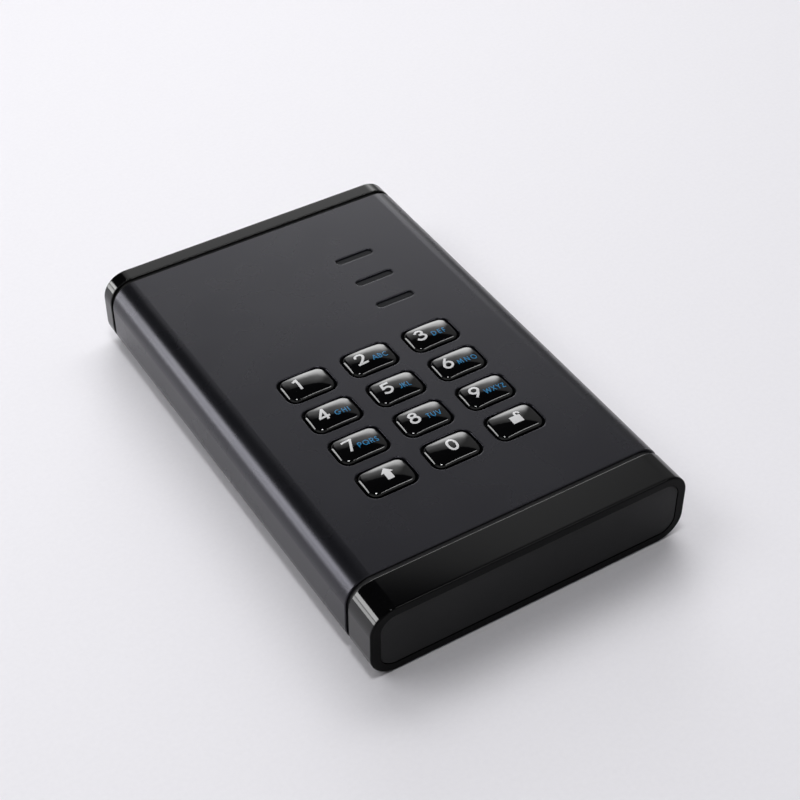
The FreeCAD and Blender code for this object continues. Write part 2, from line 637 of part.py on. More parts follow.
# Solid state drive: tub, snap-in cover, board and connector plug
SSD_Y = (SSD_FRONT + SSD_REAR) / 2
PLUG_BACK_Y = SSD_REAR - RECEPTACLE_NOSE - NOSE_FIT - PLUG_BACK
SSD_HOLES = []
for side in (-1, 1):
    SSD_HOLES.append((side * (SSD_WIDTH / 2 - SSD_HOLE_SIDE), SSD_REAR - SSD_HOLE_REAR))
    SSD_HOLES.append((side * (SSD_WIDTH / 2 - SSD_HOLE_SIDE), SSD_FRONT + SSD_HOLE_FRONT))
SSD_BOARD_WIDTH = SSD_WIDTH - 2 * (SSD_HOLE_SIDE + SSD_BOSS_RADIUS + SSD_BOARD_SIDE)
SSD_BOARD_BOTTOM = SSD_INSIDE + SSD_BOARD_RISE
SSD_BOARD_TOP = SSD_BOARD_BOTTOM + SSD_BOARD_THICKNESS
SSD_BOARD_REAR = PLUG_BACK_Y - PLUG_FIT
SSD_BOARD_Y = SSD_BOARD_REAR - SSD_BOARD_LENGTH / 2


def ssd_pillars():
    """Places of the posts under the drive's board."""
    places = []
    for side_x in (-1, 1):
        for side_y in (-1, 1):
            x = side_x * (SSD_BOARD_WIDTH / 2 - SSD_PILLAR_INSET)
            places.append((x, SSD_BOARD_Y + side_y * (SSD_BOARD_LENGTH / 2 - SSD_PILLAR_INSET)))
    return places


def ssd_base():
    tub = pad(SSD_WIDTH, SSD_LENGTH, SSD_CORNER, SSD_BOTTOM, SSD_SEAM, 0, SSD_Y)
    width = SSD_WIDTH - 2 * SSD_WALL
    length = SSD_LENGTH - 2 * SSD_WALL
    tub = tub.cut(block(width, length, SSD_INSIDE, SSD_SEAM, 0, SSD_Y))
    bosses = [peg(SSD_BOSS_RADIUS, SSD_BOTTOM, SSD_BOTTOM + SSD_BOSS_HEIGHT, x, y) for x, y in SSD_HOLES]
    pillars = [peg(SSD_PILLAR_RADIUS, SSD_BOTTOM, SSD_BOARD_BOTTOM, x, y) for x, y in ssd_pillars()]
    tub = tub.multiFuse(bosses + pillars)
    hole = SSD_SCREW_RADIUS + SCREW_FIT
    holes = [peg(hole, SSD_BOTTOM, SSD_BOTTOM + SSD_SCREW_REACH + SCREW_FIT, x, y) for x, y in SSD_HOLES]
    half = PLUG_HEIGHT / 2 + NOSE_FIT
    holes.append(span(PLUG_LEFT - NOSE_FIT, PLUG_RIGHT + NOSE_FIT,
                      SSD_REAR - 2 * SSD_WALL, SSD_REAR, PLUG_Z - half, PLUG_Z + half))
    return tub.cut(Part.makeCompound(holes)).removeSplitter()


def ssd_cover():
    lid = pad(SSD_WIDTH, SSD_LENGTH, SSD_CORNER, SSD_SEAM, SSD_TOP, 0, SSD_Y)
    width = SSD_WIDTH - 2 * (SSD_WALL + SSD_LIP_FIT)
    length = SSD_LENGTH - 2 * (SSD_WALL + SSD_LIP_FIT)
    lip = block(width, length, SSD_SEAM - SSD_LID_LIP, SSD_SEAM, 0, SSD_Y)
    width = width - 2 * SSD_LID
    length = length - 2 * SSD_LID
    lip = lip.cut(block(width, length, SSD_SEAM - SSD_LID_LIP, SSD_SEAM, 0, SSD_Y))
    return lid.fuse(lip).removeSplitter()


def ssd_board():
    return block(SSD_BOARD_WIDTH, SSD_BOARD_LENGTH, SSD_BOARD_BOTTOM, SSD_BOARD_TOP, 0, SSD_BOARD_Y)


def ssd_flash():
    chips = []
    for side_x in (-1, 1):
        for side_y in (-1, 1):
            x = side_x * (FLASH_WIDTH + FLASH_GAP + SSD_CHIP) / 2
            y = SSD_BOARD_Y + side_y * (FLASH_LENGTH + FLASH_GAP) / 2
            chips.append(block(FLASH_WIDTH, FLASH_LENGTH, SSD_BOARD_TOP, SSD_BOARD_TOP + CHIP_HEIGHT, x, y))
    return Part.makeCompound(chips)


def ssd_controller():
    return block(SSD_CHIP, SSD_CHIP, SSD_BOARD_TOP, SSD_BOARD_TOP + CHIP_HEIGHT, 0, SSD_BOARD_Y)


def tongues(fit, y0, y1):
    """The plug's signal and power tongues, or their slots when given a fit."""
    left = PLUG_LEFT + PLUG_MARGIN
    right = PLUG_RIGHT - PLUG_MARGIN
    half = TONGUE_THICKNESS / 2 + fit
    signal = span(left - fit, left + SIGNAL_WIDTH + fit, y0, y1, PLUG_Z - half, PLUG_Z + half)
    power = span(right - POWER_WIDTH - fit, right + fit, y0, y1, PLUG_Z - half, PLUG_Z + half)
    return signal, power


def ssd_plug():
    half = PLUG_HEIGHT / 2
    front = PLUG_BACK_Y + PLUG_BACK
    back = span(PLUG_LEFT, PLUG_RIGHT, PLUG_BACK_Y, front, PLUG_Z - half, PLUG_Z + half)
    return back.multiFuse(list(tongues(0, front, front + TONGUE_LENGTH)))


# Tray: moulded floor under the drive, with side rails, a front stop and two posts
POST_PLACES = [(side * POST_X, SSD_REAR + POST_FROM_DRIVE) for side in (-1, 1)]


def drive_tray():
    half = SSD_WIDTH / 2 + DRIVE_CLEARANCE + TRAY_RAIL
    floor = span(-half, half, TRAY_FRONT, TRAY_REAR, TRAY_BOTTOM, SSD_BOTTOM)
    stop = span(-half, half, TRAY_FRONT, TRAY_FRONT + TRAY_STOP, TRAY_BOTTOM, SSD_BOTTOM + TRAY_STOP_HEIGHT)
    parts = [stop]
    for side in (-1, 1):
        ends = sorted([side * (half - TRAY_RAIL), side * half])
        parts.append(span(*ends, TRAY_FRONT, SSD_REAR, TRAY_BOTTOM, SSD_BOTTOM + TRAY_RAIL_HEIGHT))
    parts += [peg(POST_RADIUS, TRAY_BOTTOM, BRIDGE_BOTTOM, x, y) for x, y in POST_PLACES]
    tray = floor.multiFuse(parts).common(outline(SLEEVE_WALL + TRAY_FIT, TRAY_FRONT, TRAY_REAR))
    holes = [peg(CAP_SCREW_RADIUS + SCREW_FIT, SSD_BOTTOM, BRIDGE_BOTTOM, x, y) for x, y in POST_PLACES]
    for x, y in SSD_HOLES:
        holes.append(peg(SSD_SCREW_RADIUS + SCREW_FIT, TRAY_BOTTOM, SSD_BOTTOM, x, y))
        seat = FreeCAD.Vector(x, y, TRAY_BOTTOM)
        wide = SSD_SCREW_HEAD + SCREW_FIT
        holes.append(Part.makeCone(wide, SSD_SCREW_RADIUS + SCREW_FIT, SSD_SCREW_CONE, seat, Z_AXIS))
    return tray.cut(Part.makeCompound(holes)).removeSplitter()


def ssd_screws():
    screws = []
    for x, y in SSD_HOLES:
        seat = FreeCAD.Vector(x, y, TRAY_BOTTOM)
        head = Part.makeCone(SSD_SCREW_HEAD, SSD_SCREW_RADIUS, SSD_SCREW_CONE, seat, Z_AXIS)
        shank = peg(SSD_SCREW_RADIUS, TRAY_BOTTOM, SSD_BOTTOM + SSD_SCREW_REACH, x, y)
        screws.append(head.fuse(shank).removeSplitter())
    return Part.makeCompound(screws)


# Bridge board at the rear: drive receptacle below, socket let into its edge
BRIDGE_FRONT = SSD_REAR + BRIDGE_FRONT_GAP
BRIDGE_REAR = REAR_FACE - REAR_FLOOR - BRIDGE_REAR_GAP
USB_FRONT = REAR_FACE - USB_RECESS
USB_REAR = USB_FRONT - USB_DEPTH
CONNECTOR_Y = BRIDGE_FRONT + CONNECTOR_SETBACK + CONNECTOR_DEPTH / 2


def bridge_board():
    half = SSD_WIDTH / 2 - BRIDGE_SIDE
    board = span(-half, half, BRIDGE_FRONT, BRIDGE_REAR, BRIDGE_BOTTOM, BRIDGE_TOP)
    notch = USB_WIDTH / 2 + USB_FIT
    cuts = [span(-notch, notch, USB_REAR - USB_FIT, BRIDGE_REAR, BRIDGE_BOTTOM, BRIDGE_TOP)]
    cuts += [peg(CAP_SCREW_RADIUS + SCREW_FIT, BRIDGE_BOTTOM, BRIDGE_TOP, x, y) for x, y in POST_PLACES]
    return board.cut(Part.makeCompound(cuts))


def bridge_screws():
    screws = []
    for x, y in POST_PLACES:
        head = peg(CAP_SCREW_HEAD, BRIDGE_TOP, BRIDGE_TOP + CAP_SCREW_HEAD_HEIGHT, x, y)
        shank = peg(CAP_SCREW_RADIUS, SSD_BOTTOM + SCREW_FIT, BRIDGE_TOP, x, y)
        screws.append(head.fuse(shank))
    return Part.makeCompound(screws)


def sata_receptacle():
    rear = SSD_REAR + RECEPTACLE_GAP + RECEPTACLE_DEPTH
    front = SSD_REAR + RECEPTACLE_GAP
    half = PLUG_HEIGHT / 2
    body = span(PLUG_LEFT, PLUG_RIGHT, front, rear, PLUG_Z - half - RECEPTACLE_DROP, BRIDGE_BOTTOM)
    nose = span(PLUG_LEFT, PLUG_RIGHT, SSD_REAR - RECEPTACLE_NOSE, front, PLUG_Z - half, PLUG_Z + half)
    slots = tongues(TONGUE_FIT, SSD_REAR - RECEPTACLE_NOSE, SSD_REAR + RECEPTACLE_GAP + TONGUE_LENGTH / 2)
    return body.fuse(nose).cut(Part.makeCompound(list(slots))).removeSplitter()


def usb_shell():
    shell = bar(USB_WIDTH, USB_HEIGHT, USB_HEIGHT / 2, USB_REAR, USB_FRONT, MID_HEIGHT)
    height = USB_HEIGHT - 2 * USB_WALL
    hollow = bar(USB_WIDTH - 2 * USB_WALL, height, height / 2, USB_REAR, USB_FRONT, MID_HEIGHT)
    tabs = []
    for tab_y in (USB_REAR, BRIDGE_REAR - USB_TAB_LENGTH):
        half = USB_WIDTH / 2 + USB_TAB_REACH
        tabs.append(span(-half, half, tab_y, tab_y + USB_TAB_LENGTH, BRIDGE_TOP, BRIDGE_TOP + USB_WALL))
    return shell.multiFuse(tabs).cut(hollow).removeSplitter()


def usb_insulator():
    height = USB_HEIGHT - 2 * USB_WALL
    back = bar(USB_WIDTH - 2 * USB_WALL, height, height / 2, USB_REAR, USB_REAR + USB_BACK, MID_HEIGHT)
    half = USB_TONGUE_THICKNESS / 2
    tongue = span(-USB_TONGUE_WIDTH / 2, USB_TONGUE_WIDTH / 2, USB_REAR, USB_FRONT - USB_TONGUE_SETBACK,
                  MID_HEIGHT - half, MID_HEIGHT + half)
    return back.fuse(tongue).removeSplitter()


def bridge_controller():
    y = USB_REAR - BRIDGE_CHIP / 2
    return block(BRIDGE_CHIP, BRIDGE_CHIP, BRIDGE_TOP, BRIDGE_TOP + CHIP_HEIGHT, BRIDGE_CHIP_OFFSET, y)


# Flat cable: leaves the keypad board's connector, turns over and enters the bridge board's
UPPER_CONNECTOR_BOTTOM = BOARD_BOTTOM - CONNECTOR_HEIGHT
UPPER_CABLE = BOARD_BOTTOM - CONNECTOR_HEIGHT / 2
LOWER_CABLE = BRIDGE_TOP + CONNECTOR_HEIGHT / 2
UPPER_CONNECTOR_Y = SSD_REAR - CONNECTOR_DEPTH / 2


def connector(y, z0):
    """Cable connector, open to the rear."""
    mouth = y + CONNECTOR_DEPTH / 2
    body = span(CABLE_LEFT - CONNECTOR_SIDE, CABLE_RIGHT + CONNECTOR_SIDE,
                mouth - CONNECTOR_DEPTH, mouth, z0, z0 + CONNECTOR_HEIGHT)
    mid = z0 + CONNECTOR_HEIGHT / 2
    half = CABLE_THICKNESS / 2 + CABLE_THICKNESS
    left = CABLE_LEFT - CABLE_THICKNESS
    right = CABLE_RIGHT + CABLE_THICKNESS
    return body.cut(span(left, right, mouth - CONNECTOR_MOUTH, mouth, mid - half, mid + half))


def flex_cable():
    bend_y = CONNECTOR_Y + CONNECTOR_DEPTH / 2 + CABLE_RUN
    middle = (UPPER_CABLE + LOWER_CABLE) / 2
    radius = (UPPER_CABLE - LOWER_CABLE) / 2
    outer = radius + CABLE_THICKNESS / 2
    inner = radius - CABLE_THICKNESS / 2
    centre = FreeCAD.Vector(CABLE_LEFT, bend_y, middle)
    turn = Part.makeCylinder(outer, CABLE_WIDTH, centre, X_AXIS)
    turn = turn.cut(Part.makeCylinder(inner, CABLE_WIDTH, centre, X_AXIS))
    turn = turn.cut(span(CABLE_LEFT, CABLE_RIGHT, bend_y - 2 * outer, bend_y, middle - outer, middle + outer))
    upper_end = UPPER_CONNECTOR_Y + CONNECTOR_DEPTH / 2 - CONNECTOR_MOUTH
    lower_end = CONNECTOR_Y + CONNECTOR_DEPTH / 2 - CONNECTOR_MOUTH
    upper = span(CABLE_LEFT, CABLE_RIGHT, upper_end, bend_y, middle + inner, middle + outer)
    lower = span(CABLE_LEFT, CABLE_RIGHT, lower_end, bend_y, middle - outer, middle - inner)
    return turn.multiFuse([upper, lower]).removeSplitter()


os.makedirs("parts", exist_ok=True)

save("enclosure_sleeve", sleeve())
save("front_end_cap", front_end_cap())
save("front_panel", front_panel())
save("rear_end_cap", rear_end_cap())
save("front_gasket", gasket(FRONT_FACE + FRONT_CAP_LENGTH, SLEEVE_FRONT))
save("rear_gasket", gasket(SLEEVE_REAR, REAR_FACE - REAR_CAP_LENGTH))

front_seat = FRONT_FACE + PANEL_RECESS + PANEL_THICKNESS + CAP_SCREW_HEAD_HEIGHT + HEAD_FIT
rear_seat = REAR_FACE - CAP_SCREW_HEAD_HEIGHT - HEAD_FIT
front_shank = SLEEVE_FRONT + CAP_SCREW_ENGAGEMENT - front_seat
rear_shank = rear_seat - SLEEVE_REAR + CAP_SCREW_ENGAGEMENT
save("front_cap_screws", Part.makeCompound(
    [cap_screw(side * SCREW_X, front_seat, -1, front_shank) for side in (-1, 1)]))
save("rear_cap_screws", Part.makeCompound(
    [cap_screw(side * SCREW_X, rear_seat, 1, rear_shank) for side in (-1, 1)]))

key_shape = key()
for key_name, (key_x, key_y) in KEY_PLACES.items():
    placed = key_shape.copy()
    placed.translate(FreeCAD.Vector(key_x, key_y, 0))
    save(key_name, placed)

save("keymat", keymat())
for number, light_y in enumerate(LIGHT_PLACES, start=1):
    save("status_light_pipe_" + str(number), light_pipe(light_y))
save("keypad_board", keypad_board())
save("key_contacts", key_contacts())
save("status_lamps", status_lamps())
save("secure_controller", hanging_chip(SECURE_CHIP, -CHIP_SPREAD / 2))
save("encryption_controller", hanging_chip(CRYPTO_CHIP, CHIP_SPREAD / 2))
save("epoxy_cover", epoxy_cover())
save("foam_pad", foam_pad())

save("ssd_base", ssd_base())
save("ssd_cover", ssd_cover())
save("ssd_board", ssd_board())
save("ssd_flash_chips", ssd_flash())
save("ssd_controller", ssd_controller())
save("ssd_plug", ssd_plug())
save("drive_tray", drive_tray())
save("drive_screws", ssd_screws())

save("bridge_board", bridge_board())
save("bridge_screws", bridge_screws())
save("bridge_controller", bridge_controller())
save("drive_receptacle", sata_receptacle())
save("usb_shell", usb_shell())
save("usb_insulator", usb_insulator())
save("keypad_connector", connector(UPPER_CONNECTOR_Y, UPPER_CONNECTOR_BOTTOM))
save("bridge_connector", connector(CONNECTOR_Y, BRIDGE_TOP))
save("flex_cable", flex_cable())
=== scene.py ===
import math

import bmesh
import bpy
from mathutils import Matrix, Vector
from mathutils.bvhtree import BVHTree


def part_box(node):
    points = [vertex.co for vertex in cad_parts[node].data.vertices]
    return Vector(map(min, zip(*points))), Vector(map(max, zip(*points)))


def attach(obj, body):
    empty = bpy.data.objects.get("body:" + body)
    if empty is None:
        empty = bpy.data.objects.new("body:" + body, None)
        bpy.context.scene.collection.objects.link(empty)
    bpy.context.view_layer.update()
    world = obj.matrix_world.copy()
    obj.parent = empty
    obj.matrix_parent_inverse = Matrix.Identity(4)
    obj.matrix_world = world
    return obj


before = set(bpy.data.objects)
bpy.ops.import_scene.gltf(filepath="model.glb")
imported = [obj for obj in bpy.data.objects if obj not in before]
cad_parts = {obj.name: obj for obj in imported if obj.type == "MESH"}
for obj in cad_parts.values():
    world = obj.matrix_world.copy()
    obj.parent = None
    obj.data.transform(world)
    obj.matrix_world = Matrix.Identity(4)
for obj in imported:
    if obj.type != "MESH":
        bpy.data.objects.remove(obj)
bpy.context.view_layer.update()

# Camera. It looks down on the drive from its front left corner through a long lens, so that
# the top, the left side and the front panel all show; it is held level, without a lean.
MM = 0.001
VIEW_PLACE = Vector((-161.92, -272.45, 301.25)) * MM
VIEW_TURN = math.radians(-31.699)
VIEW_TILT = math.radians(42.612)
LENS_LENGTH = 79.27
FILM_WIDTH = 36.0
NEAR_LIMIT = 0.01

camera_data = bpy.data.cameras.new("studio_camera")
camera_data.lens = LENS_LENGTH
camera_data.sensor_width = FILM_WIDTH
camera_data.clip_start = NEAR_LIMIT
camera = bpy.data.objects.new("studio_camera", camera_data)
camera.location = VIEW_PLACE
camera.rotation_euler = (math.pi / 2 - VIEW_TILT, 0, VIEW_TURN)
bpy.context.scene.collection.objects.link(camera)
bpy.context.scene.camera = camera
bpy.context.scene.view_settings.view_transform = "Standard"


# Table. A wide sheet of pale matte laminate that the drive lies on and throws its soft
# shadow on; far from the lamps it shows as pale as it is near them, as a lit sweep does.
TABLE_HALF = 30.0
LAMINATE_DARK = (0.80, 0.79, 0.83, 1)
LAMINATE_LIGHT = (0.84, 0.83, 0.87, 1)
LAMINATE_SPECKS = 900.0
LAMINATE_ROUGHNESS = 0.6
LAMINATE_SHINE = 0.2
FAR_START = 0.22
FAR_FULL = 0.65
FAR_LIGHT = 1.0


def node_tree_of(owner):
    """Node tree of a material or of the world, emptied."""
    owner.use_nodes = True
    owner.node_tree.nodes.clear()
    return owner.node_tree


def add_node(tree, kind, **settings):
    """New node of a kind in a tree, with its settings made."""
    made = tree.nodes.new(kind)
    for key, value in settings.items():
        setattr(made, key, value)
    return made


table_mesh = bpy.data.meshes.new("table")
sheet = bmesh.new()
bmesh.ops.create_grid(sheet, x_segments=1, y_segments=1, size=TABLE_HALF)
sheet.to_mesh(table_mesh)
sheet.free()
table = bpy.data.objects.new("table", table_mesh)
bpy.context.scene.collection.objects.link(table)

table_finish = bpy.data.materials.new("pale_laminate")
tree = node_tree_of(table_finish)
place = add_node(tree, "ShaderNodeTexCoord")
speck = add_node(tree, "ShaderNodeTexNoise")
speck.inputs["Scale"].default_value = LAMINATE_SPECKS
tint = add_node(tree, "ShaderNodeMix", data_type="RGBA")
tint.inputs["A"].default_value = LAMINATE_DARK
tint.inputs["B"].default_value = LAMINATE_LIGHT
laminate = add_node(tree, "ShaderNodeBsdfPrincipled")
laminate.inputs["Roughness"].default_value = LAMINATE_ROUGHNESS
laminate.inputs["Specular IOR Level"].default_value = LAMINATE_SHINE
distance = add_node(tree, "ShaderNodeVectorMath", operation="LENGTH")
far = add_node(tree, "ShaderNodeMapRange", interpolation_type="SMOOTHSTEP")
far.inputs["From Min"].default_value = FAR_START
far.inputs["From Max"].default_value = FAR_FULL
path = add_node(tree, "ShaderNodeLightPath")
seen = add_node(tree, "ShaderNodeMath", operation="MAXIMUM")
seen_far = add_node(tree, "ShaderNodeMath", operation="MULTIPLY")
pale = add_node(tree, "ShaderNodeEmission")
pale.inputs["Strength"].default_value = FAR_LIGHT
sweep = add_node(tree, "ShaderNodeMixShader")
out = add_node(tree, "ShaderNodeOutputMaterial")
tree.links.new(place.outputs["Object"], speck.inputs["Vector"])
tree.links.new(speck.outputs["Fac"], tint.inputs["Factor"])
tree.links.new(tint.outputs["Result"], laminate.inputs["Base Color"])
tree.links.new(place.outputs["Object"], distance.inputs[0])
tree.links.new(distance.outputs["Value"], far.inputs["Value"])
tree.links.new(path.outputs["Is Camera Ray"], seen.inputs[0])
tree.links.new(path.outputs["Is Glossy Ray"], seen.inputs[1])
tree.links.new(seen.outputs["Value"], seen_far.inputs[0])
tree.links.new(far.outputs["Result"], seen_far.inputs[1])
tree.links.new(tint.outputs["Result"], pale.inputs["Color"])
tree.links.new(seen_far.outputs["Value"], sweep.inputs[0])
tree.links.new(laminate.outputs["BSDF"], sweep.inputs[1])
tree.links.new(pale.outputs["Emission"], sweep.inputs[2])
tree.links.new(sweep.outputs["Shader"], out.inputs["Surface"])
table_finish.cycles.emission_sampling = "NONE"
table_mesh.materials.append(table_finish)


# Studio. A dark room whose walls glow in soft patches: a bright backdrop behind the drive that
# dims upwards, fainter walls to its right and in front, and a low band round the left. Softboxes
# stand behind, above and at both sides, some for gloss alone and some for matte surfaces alone.
ROOM_PEAK = 5.0
ROOM_BAND = [(0, 0.10), (12, 0.10), (20, 0.004), (90, 0.0)]
SIDE_WALL = [(0, 0.04), (12, 0.05), (28, 0.08), (44, 0.09), (47, 0.07), (48.7, 0.0)]
FRONT_WALL = [(0, 0.09), (40, 0.09), (54, 0.0)]
BACKDROP = [(0, 0.28), (31, 0.29), (35, 0.265), (38, 0.235), (41, 0.175), (44, 0.125),
            (46.5, 0.085), (48.0, 0.07), (48.7, 0.0)]
BACKDROP_LIGHT = [(0, 0.80), (12, 0.90), (18, 0.97), (22, 0.82), (25, 0.70), (28, 0.36),
                  (31, 0.10), (34, 0.0)]

world = bpy.data.worlds.new("studio")
bpy.context.scene.world = world
tree = node_tree_of(world)
place = add_node(tree, "ShaderNodeTexCoord")
split = add_node(tree, "ShaderNodeSeparateXYZ")
level_way = add_node(tree, "ShaderNodeVectorMath", operation="MULTIPLY")
level_way.inputs[1].default_value = (1, 1, 0)
level_unit = add_node(tree, "ShaderNodeVectorMath", operation="NORMALIZE")
tree.links.new(place.outputs["Generated"], split.inputs["Vector"])
tree.links.new(place.outputs["Generated"], level_way.inputs[0])
tree.links.new(level_way.outputs["Vector"], level_unit.inputs[0])


def glow(stops, turn, full, faded):
    """Patch of wall with stops of rise and light, centred on a turn; all angles are in degrees.

    It is full up to one angle on each side of the turn, and has faded out at the other.
    """
    ramp = add_node(tree, "ShaderNodeValToRGB")
    while len(ramp.color_ramp.elements) < len(stops):
        ramp.color_ramp.elements.new(1.0)
    for element, (rise, light) in zip(ramp.color_ramp.elements, stops):
        element.position = math.sin(math.radians(rise))
        element.color = (light, light, light, 1)
    facing = add_node(tree, "ShaderNodeVectorMath", operation="DOT_PRODUCT")
    facing.inputs[1].default_value = (math.cos(math.radians(turn)), math.sin(math.radians(turn)), 0)
    spread = add_node(tree, "ShaderNodeMapRange", interpolation_type="SMOOTHSTEP")
    spread.inputs["From Min"].default_value = math.cos(math.radians(faded))
    spread.inputs["From Max"].default_value = math.cos(math.radians(full))
    held = add_node(tree, "ShaderNodeMath", operation="MULTIPLY")
    tree.links.new(split.outputs["Z"], ramp.inputs["Fac"])
    tree.links.new(level_unit.outputs["Vector"], facing.inputs[0])
    tree.links.new(facing.outputs["Value"], spread.inputs["Value"])
    tree.links.new(ramp.outputs["Color"], held.inputs[0])
    tree.links.new(spread.outputs["Result"], held.inputs[1])
    return held


room = glow(ROOM_BAND, turn=140, full=60, faded=120)
side_wall = glow(SIDE_WALL, turn=10, full=25, faded=60)
backdrop = glow(BACKDROP, turn=67, full=11, faded=23)
backdrop_light = glow(BACKDROP_LIGHT, turn=61, full=6, faded=17)
path = add_node(tree, "ShaderNodeLightPath")
front_wall = add_node(tree, "ShaderNodeMath", operation="MULTIPLY")
tree.links.new(glow(FRONT_WALL, turn=250, full=50, faded=100).outputs[0], front_wall.inputs[0])
tree.links.new(path.outputs["Is Glossy Ray"], front_wall.inputs[1])
for wall in (side_wall, front_wall, backdrop, backdrop_light):
    joined = add_node(tree, "ShaderNodeMath", operation="ADD")
    tree.links.new(room.outputs[0], joined.inputs[0])
    tree.links.new(wall.outputs[0], joined.inputs[1])
    room = joined
brightness = add_node(tree, "ShaderNodeMath", operation="MULTIPLY")
brightness.inputs[1].default_value = ROOM_PEAK
sky = add_node(tree, "ShaderNodeBackground")
out = add_node(tree, "ShaderNodeOutputWorld")
tree.links.new(room.outputs[0], brightness.inputs[0])
tree.links.new(brightness.outputs[0], sky.inputs["Strength"])
tree.links.new(sky.outputs["Background"], out.inputs["Surface"])


def softbox(name, turn, rise, distance, width, height, power, mirrored=True, scattered=True):
    """Rectangular lamp that faces the drive from a turn and a rise in degrees, in metres and watts.

    Gloss sees it where it is mirrored, and matte surfaces catch its light where it is scattered.
    """
    turn = math.radians(turn)
    rise = math.radians(rise)
    way = Vector((math.cos(turn) * math.cos(rise), math.sin(turn) * math.cos(rise), math.sin(rise)))
    data = bpy.data.lights.new(name, "AREA")
    data.shape = "RECTANGLE"
    data.size = width
    data.size_y = height
    data.energy = power
    lamp = bpy.data.objects.new(name, data)
    lamp.location = way * distance
    lamp.rotation_euler = way.to_track_quat("Z", "Y").to_euler()
    lamp.visible_camera = False
    lamp.visible_glossy = mirrored
    lamp.visible_diffuse = scattered
    bpy.context.scene.collection.objects.link(lamp)


softbox("left_softbox", turn=139, rise=20.5, distance=1.80, width=0.72, height=0.41, power=8.6,
        scattered=False)
softbox("left_low_softbox", turn=139, rise=6, distance=1.80, width=0.72, height=0.36, power=5.4,
        scattered=False)
softbox("top_softbox", turn=-122, rise=82, distance=1.00, width=0.14, height=0.14, power=2.6)
softbox("rear_softbox", turn=60, rise=54, distance=1.00, width=1.20, height=0.35, power=5.4,
        mirrored=False)
softbox("left_fill", turn=150, rise=50, distance=0.80, width=0.50, height=0.40, power=2.2,
        mirrored=False)
softbox("right_strip", turn=-45, rise=50, distance=0.90, width=0.60, height=0.10, power=2.0,
        scattered=False)


# Sleeve. An aluminium extrusion, fine-blasted and anodised black, so it is satin with
# a grain too fine to count; the windows for the keys and lights are milled through it.
GRAIN_DETAIL = 3.0
PATCH_SCALE = 55.0
PATCH_DETAIL = 4.0
PATCH_LOW = 0.3
PATCH_HIGH = 0.7


def grain_group():
    """Fine speckle on the piece's own coordinates: a colour between two shades, and a height."""
    made = bpy.data.node_groups.new("fine_grain", "ShaderNodeTree")
    face = made.interface
    face.new_socket("Dark", in_out="INPUT", socket_type="NodeSocketColor")
    face.new_socket("Light", in_out="INPUT", socket_type="NodeSocketColor")
    face.new_socket("Scale", in_out="INPUT", socket_type="NodeSocketFloat")
    face.new_socket("Color", in_out="OUTPUT", socket_type="NodeSocketColor")
    face.new_socket("Height", in_out="OUTPUT", socket_type="NodeSocketFloat")
    source = add_node(made, "NodeGroupInput")
    result = add_node(made, "NodeGroupOutput")
    where = add_node(made, "ShaderNodeTexCoord")
    noise = add_node(made, "ShaderNodeTexNoise")
    noise.inputs["Detail"].default_value = GRAIN_DETAIL
    shade = add_node(made, "ShaderNodeMix", data_type="RGBA")
    made.links.new(where.outputs["Object"], noise.inputs["Vector"])
    made.links.new(source.outputs["Scale"], noise.inputs["Scale"])
    made.links.new(noise.outputs["Fac"], shade.inputs["Factor"])
    made.links.new(source.outputs["Dark"], shade.inputs["A"])
    made.links.new(source.outputs["Light"], shade.inputs["B"])
    made.links.new(shade.outputs["Result"], result.inputs["Color"])
    made.links.new(noise.outputs["Fac"], result.inputs["Height"])
    return made


def gloss_group():
    """Broad, faint change of roughness over a surface, as handling and moulding leave it."""
    made = bpy.data.node_groups.new("uneven_gloss", "ShaderNodeTree")
    face = made.interface
    face.new_socket("Low", in_out="INPUT", socket_type="NodeSocketFloat")
    face.new_socket("High", in_out="INPUT", socket_type="NodeSocketFloat")
    face.new_socket("Roughness", in_out="OUTPUT", socket_type="NodeSocketFloat")
    source = add_node(made, "NodeGroupInput")
    result = add_node(made, "NodeGroupOutput")
    where = add_node(made, "ShaderNodeTexCoord")
    noise = add_node(made, "ShaderNodeTexNoise")
    noise.inputs["Scale"].default_value = PATCH_SCALE
    noise.inputs["Detail"].default_value = PATCH_DETAIL
    span = add_node(made, "ShaderNodeMapRange")
    span.inputs["From Min"].default_value = PATCH_LOW
    span.inputs["From Max"].default_value = PATCH_HIGH
    made.links.new(where.outputs["Object"], noise.inputs["Vector"])
    made.links.new(noise.outputs["Fac"], span.inputs["Value"])
    made.links.new(source.outputs["Low"], span.inputs["To Min"])
    made.links.new(source.outputs["High"], span.inputs["To Max"])
    made.links.new(span.outputs["Result"], result.inputs["Roughness"])
    return made


fine_grain = grain_group()
uneven_gloss = gloss_group()


